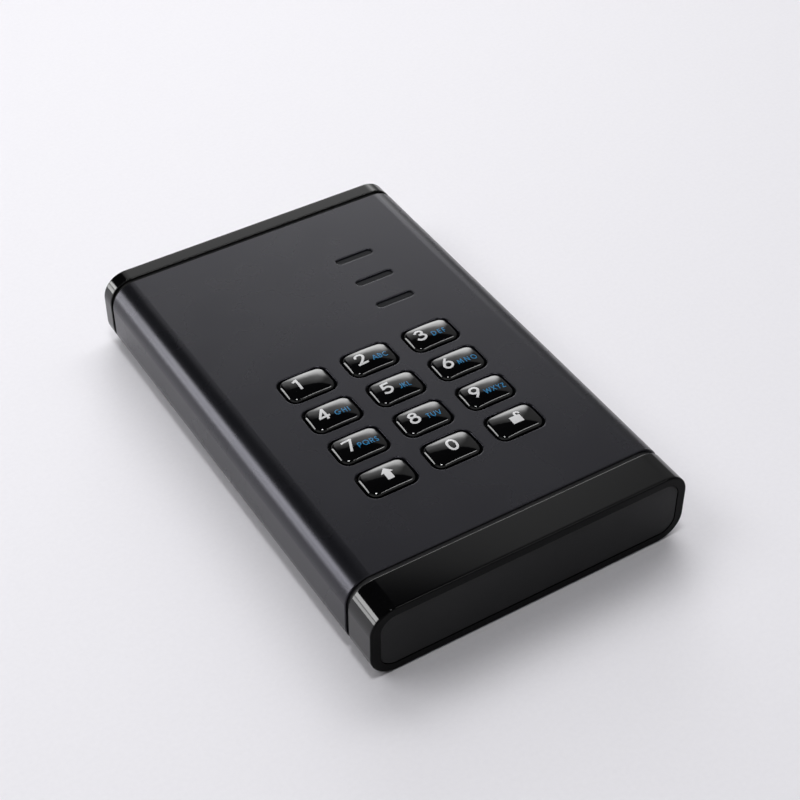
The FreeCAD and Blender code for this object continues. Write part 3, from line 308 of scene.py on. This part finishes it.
def surface(name, dark, light, grain_scale, roughness, relief, **constants):
    """Material speckled in two shades, with a roughness from low to high and a fine relief in metres."""
    made = bpy.data.materials.new(name)
    tree = node_tree_of(made)
    grain = add_node(tree, "ShaderNodeGroup", node_tree=fine_grain)
    grain.inputs["Dark"].default_value = (*dark, 1)
    grain.inputs["Light"].default_value = (*light, 1)
    grain.inputs["Scale"].default_value = grain_scale
    sheen = add_node(tree, "ShaderNodeGroup", node_tree=uneven_gloss)
    sheen.inputs["Low"].default_value = roughness[0]
    sheen.inputs["High"].default_value = roughness[1]
    bump = add_node(tree, "ShaderNodeBump")
    bump.inputs["Strength"].default_value = 1.0
    bump.inputs["Distance"].default_value = relief
    skin = add_node(tree, "ShaderNodeBsdfPrincipled")
    for socket, value in constants.items():
        skin.inputs[socket.replace("_", " ")].default_value = value
    result = add_node(tree, "ShaderNodeOutputMaterial")
    tree.links.new(grain.outputs["Color"], skin.inputs["Base Color"])
    tree.links.new(grain.outputs["Height"], bump.inputs["Height"])
    tree.links.new(sheen.outputs["Roughness"], skin.inputs["Roughness"])
    tree.links.new(bump.outputs["Normal"], skin.inputs["Normal"])
    tree.links.new(skin.outputs["BSDF"], result.inputs["Surface"])
    return made


def dress(finish, *nodes):
    """Gives solids that keep their own shape a finish."""
    for name in nodes:
        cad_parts[name].material_slots[0].material = finish


anodised = surface("black_anodised", dark=(0.0036, 0.0037, 0.0048), light=(0.0062, 0.0063, 0.0078),
                   grain_scale=5200.0, roughness=(0.25, 0.29), relief=0.0004 * MM,
                   Specular_IOR_Level=0.43, Specular_Tint=(0.86, 0.85, 1.0, 1))
dress(anodised, "enclosure_sleeve")


# End caps. Injection moulded in black plastic under a hard gloss coat, so they mirror the room;
# a spigot seats each in the sleeve, and two screws hold it. The coat is thin on the front rim,
# which stays out of the spray.
RIM_COAT = 0.18
FULL_COAT = 0.9
COAT_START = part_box("front_end_cap")[0].y + 0.35 * MM
COAT_FULL = COAT_START + 0.45 * MM

cap_plastic = surface("coated_black_plastic", dark=(0.0012, 0.0012, 0.0014), light=(0.0022, 0.0022, 0.0025),
                      grain_scale=900.0, roughness=(0.40, 0.50), relief=0.0002 * MM,
                      Specular_IOR_Level=0.0, Coat_Roughness=0.06, Coat_IOR=1.5)
tree = cap_plastic.node_tree
place = add_node(tree, "ShaderNodeTexCoord")
split = add_node(tree, "ShaderNodeSeparateXYZ")
coat = add_node(tree, "ShaderNodeMapRange")
coat.inputs["From Min"].default_value = COAT_START
coat.inputs["From Max"].default_value = COAT_FULL
coat.inputs["To Min"].default_value = RIM_COAT
coat.inputs["To Max"].default_value = FULL_COAT
tree.links.new(place.outputs["Object"], split.inputs["Vector"])
tree.links.new(split.outputs["Y"], coat.inputs["Value"])
tree.links.new(coat.outputs["Result"], tree.nodes["Principled BSDF"].inputs["Coat Weight"])
dress(cap_plastic, "front_end_cap", "rear_end_cap")


# Front panel. A thin moulded plate bonded into the front cap's recess; the mould
# was spark-eroded, which leaves a fine even matte.
panel_plastic = surface("matte_black_panel", dark=(0.0042, 0.0042, 0.0048), light=(0.0074, 0.0074, 0.0082),
                        grain_scale=3600.0, roughness=(0.50, 0.58), relief=0.004 * MM,
                        Specular_IOR_Level=0.2)
dress(panel_plastic, "front_panel")


# Gaskets. Black silicone rings pressed between the sleeve and each cap, set back
# from the surface, so each seam shows as a dark groove.
seal_rubber = surface("black_silicone", dark=(0.010, 0.010, 0.0105), light=(0.016, 0.016, 0.017),
                      grain_scale=2500.0, roughness=(0.45, 0.55), relief=0.004 * MM)
dress(seal_rubber, "front_gasket", "rear_gasket")


# Screws. Turned from steel, blackened and lightly oiled: pan heads with a six-sided drive hold the
# caps, round heads the bridge board and cone heads the drive. Only the rear cap's pair shows, in
# its pockets.
black_steel = surface("blackened_steel", dark=(0.045, 0.045, 0.048), light=(0.085, 0.085, 0.09),
                      grain_scale=4200.0, roughness=(0.26, 0.40), relief=0.002 * MM, Metallic=1.0)
dress(black_steel, "front_cap_screws", "rear_cap_screws", "drive_screws", "bridge_screws")


# Keys. Black moulded caps under a clear domed coat, so each is a small glossy pillow; a flange
# under the sleeve's wall keeps each in its window, and it goes down by under a millimetre.
KEYS = ["key_1", "key_2", "key_3", "key_4", "key_5", "key_6", "key_7", "key_8", "key_9",
        "key_shift", "key_0", "key_unlock"]

key_coat = surface("domed_black_coat", dark=(0.0016, 0.0016, 0.0018), light=(0.0026, 0.0026, 0.003),
                   grain_scale=1400.0, roughness=(0.035, 0.06), relief=0.0001 * MM, IOR=1.52)
dress(key_coat, *KEYS)


# Legends. Each key's sign is printed on its dome: a white digit, arrow or padlock drawn
# with a broad pen, and the blue letters of a telephone keypad to the right of the digit.
INK_FACET = 0.45 * MM
INK_HALVINGS = 3
INK_RISE = 0.010 * MM
INK_THICKNESS = 0.03 * MM
INK_EDGE = math.radians(40)
BEND_STEPS = 8
HALF_A_PEN = 0.5
BASE_LINE = -1.55
PEN = 0.62
ARROW_SHAFT = 1.7
ARROW_HEAD = 3.2
ARROW_TIP = 0.032
LOCK_BODY = 2.3
LOCK_BOW = 0.5
LETTER_PEN = 0.25
LETTER_HEIGHT = 1.55

white_ink = surface("white_ink", dark=(0.52, 0.52, 0.53), light=(0.58, 0.58, 0.59),
                    grain_scale=1600.0, roughness=(0.16, 0.24), relief=0.0001 * MM)
blue_ink = surface("blue_ink", dark=(0.006, 0.13, 0.29), light=(0.010, 0.16, 0.34),
                   grain_scale=1600.0, roughness=(0.16, 0.24), relief=0.0001 * MM)


def pen_strokes(strokes):
    """Flat mesh of pen strokes, in mm above the base line.

    Each stroke has a kind, the pen's width and the points that it runs through.
    """
    drawing = bpy.data.curves.new("strokes", "CURVE")
    drawing.dimensions = "3D"
    drawing.twist_mode = "Z_UP"
    drawing.extrude = HALF_A_PEN
    drawing.resolution_u = BEND_STEPS
    for kind, pen, points in strokes:
        spline = drawing.splines.new("BEZIER")
        spline.bezier_points.add(len(points) - 1)
        spline.use_cyclic_u = kind == "ring"
        handle = "AUTO" if kind in ("bend", "ring") else "VECTOR"
        for point, (x, y) in zip(spline.bezier_points, points):
            point.co = (x, y + BASE_LINE, 0)
            point.tilt = math.pi / 2
            point.radius = pen
            point.handle_left_type = handle
            point.handle_right_type = handle
        if kind == "tip":
            spline.bezier_points[-1].radius = ARROW_TIP
    holder = bpy.data.objects.new("strokes", drawing)
    bpy.context.scene.collection.objects.link(holder)
    drawn = bpy.data.meshes.new_from_object(holder.evaluated_get(bpy.context.evaluated_depsgraph_get()))
    bpy.data.objects.remove(holder)
    return drawn


def print_on(key, drawn, shift, name, ink):
    """Lays a flat drawing, in mm from the key's centre, on its dome as a thin film of ink."""
    low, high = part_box(key)
    dome = BVHTree.FromObject(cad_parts[key], bpy.context.evaluated_depsgraph_get())
    centred = Matrix.Translation((low + high) / 2) @ Matrix.Scale(MM, 4)
    drawn.transform(centred @ Matrix.Translation((shift, 0, 0)))
    film = bmesh.new()
    film.from_mesh(drawn)
    for halving in range(INK_HALVINGS):
        long_edges = [edge for edge in film.edges if edge.calc_length() > INK_FACET]
        bmesh.ops.subdivide_edges(film, edges=long_edges, cuts=1)
        bmesh.ops.triangulate(film, faces=film.faces)
    for vert in film.verts:
        above = Vector((vert.co.x, vert.co.y, high.z + MM))
        vert.co = dome.ray_cast(above, Vector((0, 0, -1)))[0] + Vector((0, 0, INK_RISE - INK_THICKNESS))
    grown = bmesh.ops.extrude_face_region(film, geom=film.faces, use_keep_orig=True)["geom"]
    raised = [item for item in grown if isinstance(item, bmesh.types.BMVert)]
    bmesh.ops.translate(film, verts=raised, vec=(0, 0, INK_THICKNESS))
    bmesh.ops.recalc_face_normals(film, faces=film.faces)
    film.to_mesh(drawn)
    film.free()
    drawn.name = name
    drawn.shade_smooth()
    drawn.set_sharp_from_angle(angle=INK_EDGE)
    drawn.materials.clear()
    drawn.materials.append(ink)
    sign = bpy.data.objects.new(name, drawn)
    bpy.context.scene.collection.objects.link(sign)
    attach(sign, key)


LEFT_SIGN = -2.4
FAR_LEFT_SIGN = -2.75
MIDDLE_SIGN = 0.33
SIGNS = {
    "key_1": (LEFT_SIGN, [
        ("line", PEN, [(0.33, 0), (0.33, 3.85)]),
        ("line", PEN, [(0.4, 3.62), (-0.65, 3.02)])]),
    "key_2": (LEFT_SIGN, [
        ("bend", PEN, [(-1.05, 2.6), (-0.65, 3.36), (0.1, 3.54), (0.9, 3.12), (1.0, 2.5), (0.6, 1.72),
                       (-0.95, 0.15)]),
        ("line", PEN, [(-1.35, 0.31), (1.4, 0.31)])]),
    "key_3": (FAR_LEFT_SIGN, [
        ("bend", PEN, [(-1.05, 2.98), (-0.15, 3.54), (0.82, 2.85), (0.45, 2.18), (-0.3, 2.02)]),
        ("bend", PEN, [(-0.3, 2.02), (0.75, 1.78), (1.09, 1.12), (0.65, 0.45), (-0.1, 0.31),
                       (-0.85, 0.56), (-1.2, 1.08)])]),
    "key_4": (LEFT_SIGN, [
        ("line", PEN, [(0.5, 3.6), (-1.2, 1.05)]),
        ("line", PEN, [(-1.45, 1.0), (1.4, 1.0)]),
        ("line", PEN, [(0.55, 0), (0.55, 3.85)])]),
    "key_5": (LEFT_SIGN, [
        ("line", PEN, [(-0.85, 3.54), (1.15, 3.54)]),
        ("line", PEN, [(-0.66, 3.6), (-0.86, 1.75)]),
        ("bend", PEN, [(-0.98, 1.95), (-0.1, 2.26), (0.78, 1.98), (1.09, 1.27), (0.68, 0.55),
                       (-0.1, 0.31), (-1.2, 0.72)])]),
    "key_6": (FAR_LEFT_SIGN, [
        ("ring", PEN, [(0, 2.32), (-1.03, 1.3), (0, 0.3), (1.03, 1.3)]),
        ("bend", PEN, [(-1.0, 1.45), (-0.42, 2.62), (0.5, 3.68)])]),
    "key_7": (LEFT_SIGN, [
        ("line", PEN, [(-1.35, 3.54), (1.35, 3.54)]),
        ("line", PEN, [(1.0, 3.5), (-0.42, 0)])]),
    "key_8": (LEFT_SIGN, [
        ("ring", PEN, [(0, 3.54), (-0.8, 2.82), (0, 2.12), (0.8, 2.82)]),
        ("ring", PEN, [(0, 2.12), (-1.05, 1.2), (0, 0.3), (1.05, 1.2)])]),
    "key_9": (FAR_LEFT_SIGN, [
        ("ring", PEN, [(0, 3.55), (-1.03, 2.55), (0, 1.53), (1.03, 2.55)]),
        ("bend", PEN, [(1.0, 2.4), (0.42, 1.23), (-0.5, 0.17)])]),
    "key_0": (MIDDLE_SIGN, [
        ("ring", PEN, [(0, 3.54), (-1.07, 1.92), (0, 0.31), (1.07, 1.92)])]),
    "key_shift": (MIDDLE_SIGN, [
        ("line", ARROW_SHAFT, [(0, -0.1), (0, 2.0)]),
        ("tip", ARROW_HEAD, [(0, 2.0), (0, 3.75)])]),
    "key_unlock": (MIDDLE_SIGN, [
        ("line", LOCK_BODY, [(-1.5, 1.2), (1.4, 1.2)]),
        ("bend", LOCK_BOW, [(0.4, 2.3), (0.42, 2.95), (0.98, 3.4), (1.55, 2.95), (1.6, 2.65)])]),
}
for key, (shift, strokes) in SIGNS.items():
    print_on(key, pen_strokes(strokes), shift, key + "_sign", white_ink)

STEM = ("line", [(0.08, 0), (0.08, 1)])
BOWL = ("bend", [(0.08, 0.93), (0.42, 0.91), (0.56, 0.68), (0.42, 0.45), (0.08, 0.43)])
ROUND = ("ring", [(0.5, 0.94), (0.06, 0.5), (0.5, 0.06), (0.94, 0.5)])
LETTER_SHAPES = {
    "A": (0.90, [("line", [(0.04, 0), (0.45, 1)]), ("line", [(0.86, 0), (0.45, 1)]),
                 ("line", [(0.17, 0.3), (0.73, 0.3)])]),
    "B": (0.62, [STEM, ("bend", [(0.08, 0.93), (0.38, 0.91), (0.48, 0.74), (0.36, 0.55), (0.08, 0.53)]),
                 ("bend", [(0.08, 0.53), (0.42, 0.51), (0.56, 0.3), (0.42, 0.09), (0.08, 0.07)])]),
    "C": (0.80, [("bend", [(0.78, 0.82), (0.48, 0.94), (0.06, 0.5), (0.48, 0.06), (0.78, 0.18)])]),
    "D": (0.78, [STEM, ("bend", [(0.08, 0.93), (0.4, 0.9), (0.7, 0.5), (0.4, 0.1), (0.08, 0.07)])]),
    "E": (0.52, [STEM, ("line", [(0.08, 0.93), (0.52, 0.93)]), ("line", [(0.08, 0.5), (0.48, 0.5)]),
                 ("line", [(0.08, 0.07), (0.52, 0.07)])]),
    "F": (0.50, [STEM, ("line", [(0.08, 0.93), (0.5, 0.93)]), ("line", [(0.08, 0.48), (0.46, 0.48)])]),
    "G": (0.94, [("bend", [(0.8, 0.82), (0.48, 0.94), (0.06, 0.5), (0.48, 0.06), (0.86, 0.44)]),
                 ("line", [(0.5, 0.44), (0.94, 0.44)])]),
    "H": (0.72, [STEM, ("line", [(0.64, 0), (0.64, 1)]), ("line", [(0.08, 0.52), (0.64, 0.52)])]),
    "I": (0.16, [STEM]),
    "J": (0.42, [("bend", [(0.34, 1), (0.34, 0.3), (0.2, 0.06), (0.02, 0.12)])]),
    "K": (0.68, [STEM, ("line", [(0.1, 0.46), (0.6, 1)]), ("line", [(0.24, 0.55), (0.64, 0)])]),
    "L": (0.48, [STEM, ("line", [(0.08, 0.07), (0.48, 0.07)])]),
    "M": (0.98, [("line", [(0.07, 0), (0.2, 1)]), ("line", [(0.2, 1), (0.49, 0.12)]),
                 ("line", [(0.49, 0.12), (0.78, 1)]), ("line", [(0.78, 1), (0.91, 0)])]),
    "N": (0.78, [STEM, ("line", [(0.08, 0.96), (0.7, 0.04)]), ("line", [(0.7, 0), (0.7, 1)])]),
    "O": (1.00, [ROUND]),
    "P": (0.60, [STEM, BOWL]),
    "Q": (1.00, [ROUND, ("line", [(0.6, 0.34), (0.92, 0)])]),
    "R": (0.62, [STEM, BOWL, ("line", [(0.28, 0.46), (0.58, 0)])]),
    "S": (0.52, [("bend", [(0.46, 0.83), (0.28, 0.94), (0.1, 0.75), (0.27, 0.53), (0.46, 0.28),
                           (0.26, 0.06), (0.04, 0.19)])]),
    "T": (0.58, [("line", [(0.29, 0), (0.29, 1)]), ("line", [(0, 0.93), (0.58, 0.93)])]),
    "U": (0.72, [("bend", [(0.08, 1), (0.08, 0.4), (0.36, 0.06), (0.64, 0.4), (0.64, 1)])]),
    "V": (0.80, [("line", [(0.04, 1), (0.4, 0)]), ("line", [(0.76, 1), (0.4, 0)])]),
    "W": (1.14, [("line", [(0.04, 1), (0.3, 0)]), ("line", [(0.3, 0), (0.57, 0.92)]),
                 ("line", [(0.57, 0.92), (0.84, 0)]), ("line", [(0.84, 0), (1.1, 1)])]),
    "X": (0.74, [("line", [(0.05, 0), (0.69, 1)]), ("line", [(0.05, 1), (0.69, 0)])]),
    "Y": (0.70, [("line", [(0.04, 1), (0.35, 0.48)]), ("line", [(0.66, 1), (0.35, 0.48)]),
                 ("line", [(0.35, 0.5), (0.35, 0)])]),
    "Z": (0.64, [("line", [(0.04, 0.93), (0.6, 0.93)]), ("line", [(0.58, 0.95), (0.06, 0.05)]),
                 ("line", [(0.04, 0.07), (0.62, 0.07)])]),
}


def capitals(text, left, right):
    """Strokes of small capitals on the base line, spaced to fill the width from left to right, in mm."""
    widths = [LETTER_SHAPES[letter][0] * LETTER_HEIGHT for letter in text]
    gap = (right - left - sum(widths)) / (len(text) - 1)
    strokes = []
    for letter, width in zip(text, widths):
        for kind, points in LETTER_SHAPES[letter][1]:
            placed = [(left + x * LETTER_HEIGHT, y * LETTER_HEIGHT) for x, y in points]
            strokes.append((kind, LETTER_PEN, placed))
        left += width + gap
    return strokes


LETTERS = {"key_2": ("ABC", 0.25, 4.36), "key_3": ("DEF", -0.11, 3.74), "key_4": ("GHI", 0.22, 3.97),
           "key_5": ("JKL", 0.43, 3.46), "key_6": ("MNO", -0.54, 4.89), "key_7": ("PQRS", -0.74, 4.54),
           "key_8": ("TUV", 0.43, 4.36), "key_9": ("WXYZ", -0.83, 4.89)}
for key, (text, left, right) in LETTERS.items():
    print_on(key, pen_strokes(capitals(text, left, right)), 0, key + "_letters", blue_ink)


# Keymat. One sheet of grey silicone rubber under the keys, pressed in a mould; a collar round
# each plunger stops its key, and four pegs hold the mat in holes of the keypad board.
mat_rubber = surface("grey_silicone", dark=(0.09, 0.09, 0.10), light=(0.14, 0.14, 0.15),
                     grain_scale=1800.0, roughness=(0.5, 0.62), relief=0.006 * MM)
dress(mat_rubber, "keymat")


# Status lights. Smoked clear bars let into slots in the sleeve, each with a lip bonded under
# its wall; unlit, a slot looks nearly black, with a dim gleam on its lens.
smoked_lens = surface("smoked_lens", dark=(0.0026, 0.0028, 0.0042), light=(0.0042, 0.0046, 0.0064),
                      grain_scale=700.0, roughness=(0.20, 0.28), relief=0.0006 * MM,
                      Specular_IOR_Level=0.12)
dress(smoked_lens, "status_light_pipe_1", "status_light_pipe_2", "status_light_pipe_3")


# Circuit boards. Glass laminate under a green solder mask; the copper tracks run in
# straight lanes below the mask, so they show as paler stripes with a faint ridge.
TRACK_PITCH = 0.9 * MM
TRACK_RIDGE = 0.02 * MM
TRACK_WIDTH = 0.14
TRACK_SOFTNESS = 0.2
LANE_LENGTH = 9.0
LANE_STAGGER = 0.37
MASK_OVER_COPPER = (0.045, 0.20, 0.085, 1)
BLACK = (0, 0, 0, 1)
WHITE = (1, 1, 1, 1)


def track_group():
    """Lanes of copper track on the piece's own coordinates, a pitch apart: a mask of where they run."""
    made = bpy.data.node_groups.new("copper_tracks", "ShaderNodeTree")
    face = made.interface
    face.new_socket("Pitch", in_out="INPUT", socket_type="NodeSocketFloat")
    face.new_socket("Mask", in_out="OUTPUT", socket_type="NodeSocketFloat")
    source = add_node(made, "NodeGroupInput")
    result = add_node(made, "NodeGroupOutput")
    where = add_node(made, "ShaderNodeTexCoord")
    steps = add_node(made, "ShaderNodeVectorMath", operation="DIVIDE")
    lanes = add_node(made, "ShaderNodeTexBrick", offset=LANE_STAGGER, squash=1.0)
    lanes.inputs["Color1"].default_value = BLACK
    lanes.inputs["Color2"].default_value = BLACK
    lanes.inputs["Mortar"].default_value = WHITE
    lanes.inputs["Scale"].default_value = 1.0
    lanes.inputs["Mortar Size"].default_value = TRACK_WIDTH
    lanes.inputs["Mortar Smooth"].default_value = TRACK_SOFTNESS
    lanes.inputs["Brick Width"].default_value = LANE_LENGTH
    lanes.inputs["Row Height"].default_value = 1.0
    made.links.new(where.outputs["Object"], steps.inputs[0])
    made.links.new(source.outputs["Pitch"], steps.inputs[1])
    made.links.new(steps.outputs["Vector"], lanes.inputs["Vector"])
    made.links.new(lanes.outputs["Color"], result.inputs["Mask"])
    return made


solder_mask = surface("green_solder_mask", dark=(0.012, 0.085, 0.036), light=(0.016, 0.105, 0.046),
                      grain_scale=1500.0, roughness=(0.28, 0.36), relief=0.001 * MM)
tree = solder_mask.node_tree
tracks = add_node(tree, "ShaderNodeGroup", node_tree=track_group())
tracks.inputs["Pitch"].default_value = TRACK_PITCH
over_copper = add_node(tree, "ShaderNodeMix", data_type="RGBA")
over_copper.inputs["B"].default_value = MASK_OVER_COPPER
ridge = add_node(tree, "ShaderNodeBump")
ridge.inputs["Strength"].default_value = 1.0
ridge.inputs["Distance"].default_value = TRACK_RIDGE
skin = tree.nodes["Principled BSDF"]
tree.links.new(tracks.outputs["Mask"], over_copper.inputs["Factor"])
tree.links.new(skin.inputs["Base Color"].links[0].from_socket, over_copper.inputs["A"])
tree.links.new(over_copper.outputs["Result"], skin.inputs["Base Color"])
tree.links.new(tracks.outputs["Mask"], ridge.inputs["Height"])
tree.links.new(skin.inputs["Normal"].links[0].from_socket, ridge.inputs["Normal"])
tree.links.new(ridge.outputs["Normal"], skin.inputs["Normal"])
dress(solder_mask, "keypad_board", "ssd_board", "bridge_board")


# Key contacts. Round copper pads, etched on the keypad board and plated with gold; one lies
# under each key's plunger, which closes it when the key goes down.
gold_plating = surface("gold_plating", dark=(0.62, 0.42, 0.14), light=(0.74, 0.52, 0.20),
                       grain_scale=2600.0, roughness=(0.22, 0.34), relief=0.001 * MM, Metallic=1.0)
dress(gold_plating, "key_contacts")


# Status lamps. Three small lamps moulded in milky resin and soldered on the keypad board,
# each right under the stem of its light pipe.
lamp_resin = surface("milky_lamp_resin", dark=(0.66, 0.66, 0.58), light=(0.76, 0.76, 0.68),
                     grain_scale=900.0, roughness=(0.20, 0.30), relief=0.001 * MM)
dress(lamp_resin, "status_lamps")


# Chips. The controllers and the flash memory, moulded in black compound that leaves the mould
# with a fine, dusty matte; each is soldered flat on its board.
chip_resin = surface("chip_moulding_compound", dark=(0.018, 0.018, 0.019), light=(0.034, 0.034, 0.036),
                     grain_scale=4200.0, roughness=(0.42, 0.56), relief=0.003 * MM)
dress(chip_resin, "secure_controller", "encryption_controller", "ssd_flash_chips", "ssd_controller",
      "bridge_controller")


# Epoxy. Black casting resin poured over the secure and the encryption controller, so that they
# can't be reached without harm; it sets with a wet gloss and slow waves.
potting = surface("black_casting_resin", dark=(0.010, 0.010, 0.011), light=(0.018, 0.018, 0.019),
                  grain_scale=240.0, roughness=(0.08, 0.20), relief=0.06 * MM)
dress(potting, "epoxy_cover")


# Foam pad. A block cut from open-cell grey foam, with a coarse, light-eating skin; it is
# squeezed between the epoxy and the drive, and so holds the drive down.
foam = surface("grey_foam", dark=(0.055, 0.055, 0.057), light=(0.17, 0.17, 0.175),
               grain_scale=1900.0, roughness=(0.85, 0.95), relief=0.25 * MM, Specular_IOR_Level=0.15)
dress(foam, "foam_pad")


# Drive case. The solid state drive's own tub and cover, stamped from aluminium sheet,
# bead-blasted and left bare; the cover snaps into the tub.
blasted_aluminium = surface("blasted_aluminium", dark=(0.38, 0.39, 0.41), light=(0.50, 0.51, 0.53),
                            grain_scale=3200.0, roughness=(0.34, 0.46), relief=0.006 * MM, Metallic=1.0)
dress(blasted_aluminium, "ssd_base", "ssd_cover")


# Connectors. The drive's plug and receptacle, the socket's insert and the flat cable's connectors:
# black glass-filled nylon, injection moulded, with a faintly mottled skin. The insert sits in the
# socket's shell, and the others are soldered to their boards.
connector_nylon = surface("black_nylon", dark=(0.012, 0.012, 0.012), light=(0.026, 0.026, 0.026),
                          grain_scale=1300.0, roughness=(0.40, 0.55), relief=0.003 * MM)
dress(connector_nylon, "ssd_plug", "drive_receptacle", "usb_insulator", "keypad_connector",
      "bridge_connector")


# Drive tray. A carrier of dark grey nylon, injection moulded; the drive is screwed down in it,
# the bridge board stands on its posts, and it slides into the sleeve from the end.
tray_nylon = surface("dark_grey_nylon", dark=(0.040, 0.040, 0.042), light=(0.062, 0.062, 0.065),
                     grain_scale=1700.0, roughness=(0.45, 0.60), relief=0.005 * MM)
dress(tray_nylon, "drive_tray")


# Cable socket. An oval shell drawn from thin steel sheet and nickel plated; its tabs are
# soldered to the bridge board, and its mouth opens in the rear cap.
drawn_steel = surface("drawn_steel", dark=(0.46, 0.46, 0.46), light=(0.58, 0.58, 0.58),
                      grain_scale=3800.0, roughness=(0.20, 0.32), relief=0.0015 * MM, Metallic=1.0)
dress(drawn_steel, "usb_shell")


# Socket contacts. Gold-plated bronze strips let into both faces of the socket's tongue,
# twelve a side in even steps; they stop just short of its tip, and the plug's springs wipe them.
CONTACTS_PER_FACE = 12
CONTACT_PITCH = 0.5 * MM
CONTACT_SIZE = Vector((0.25, 3.4, 0.06)) * MM
CONTACT_EDGE = 0.02 * MM
CONTACT_TO_TIP = 0.35 * MM
TONGUE_HALF = 0.35 * MM

socket_low, socket_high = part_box("usb_insulator")
socket_middle = (socket_low + socket_high) / 2
strips = bmesh.new()
for face_side in (-1, 1):
    for number in range(CONTACTS_PER_FACE):
        place = Vector((socket_middle.x + (number - (CONTACTS_PER_FACE - 1) / 2) * CONTACT_PITCH,
                        socket_high.y - CONTACT_TO_TIP - CONTACT_SIZE.y / 2,
                        socket_middle.z + face_side * TONGUE_HALF))
        bmesh.ops.create_cube(strips, matrix=Matrix.LocRotScale(place, None, CONTACT_SIZE))
bmesh.ops.bevel(strips, geom=strips.edges, offset=CONTACT_EDGE, affect="EDGES", segments=2, profile=0.5,
                material=-1)
contact_mesh = bpy.data.meshes.new("usb_contacts")
strips.to_mesh(contact_mesh)
strips.free()
contact_mesh.materials.append(gold_plating)
usb_contacts = bpy.data.objects.new("usb_contacts", contact_mesh)
bpy.context.scene.collection.objects.link(usb_contacts)
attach(usb_contacts, "enclosure")


# Flat cable. Tinned copper strips between two layers of pale polyester film; it leaves the keypad
# board's connector, turns over in one round bend and is pushed into the bridge board's.
cable_film = surface("pale_film", dark=(0.60, 0.60, 0.58), light=(0.72, 0.72, 0.70),
                     grain_scale=1100.0, roughness=(0.26, 0.36), relief=0.002 * MM)
dress(cable_film, "flex_cable")
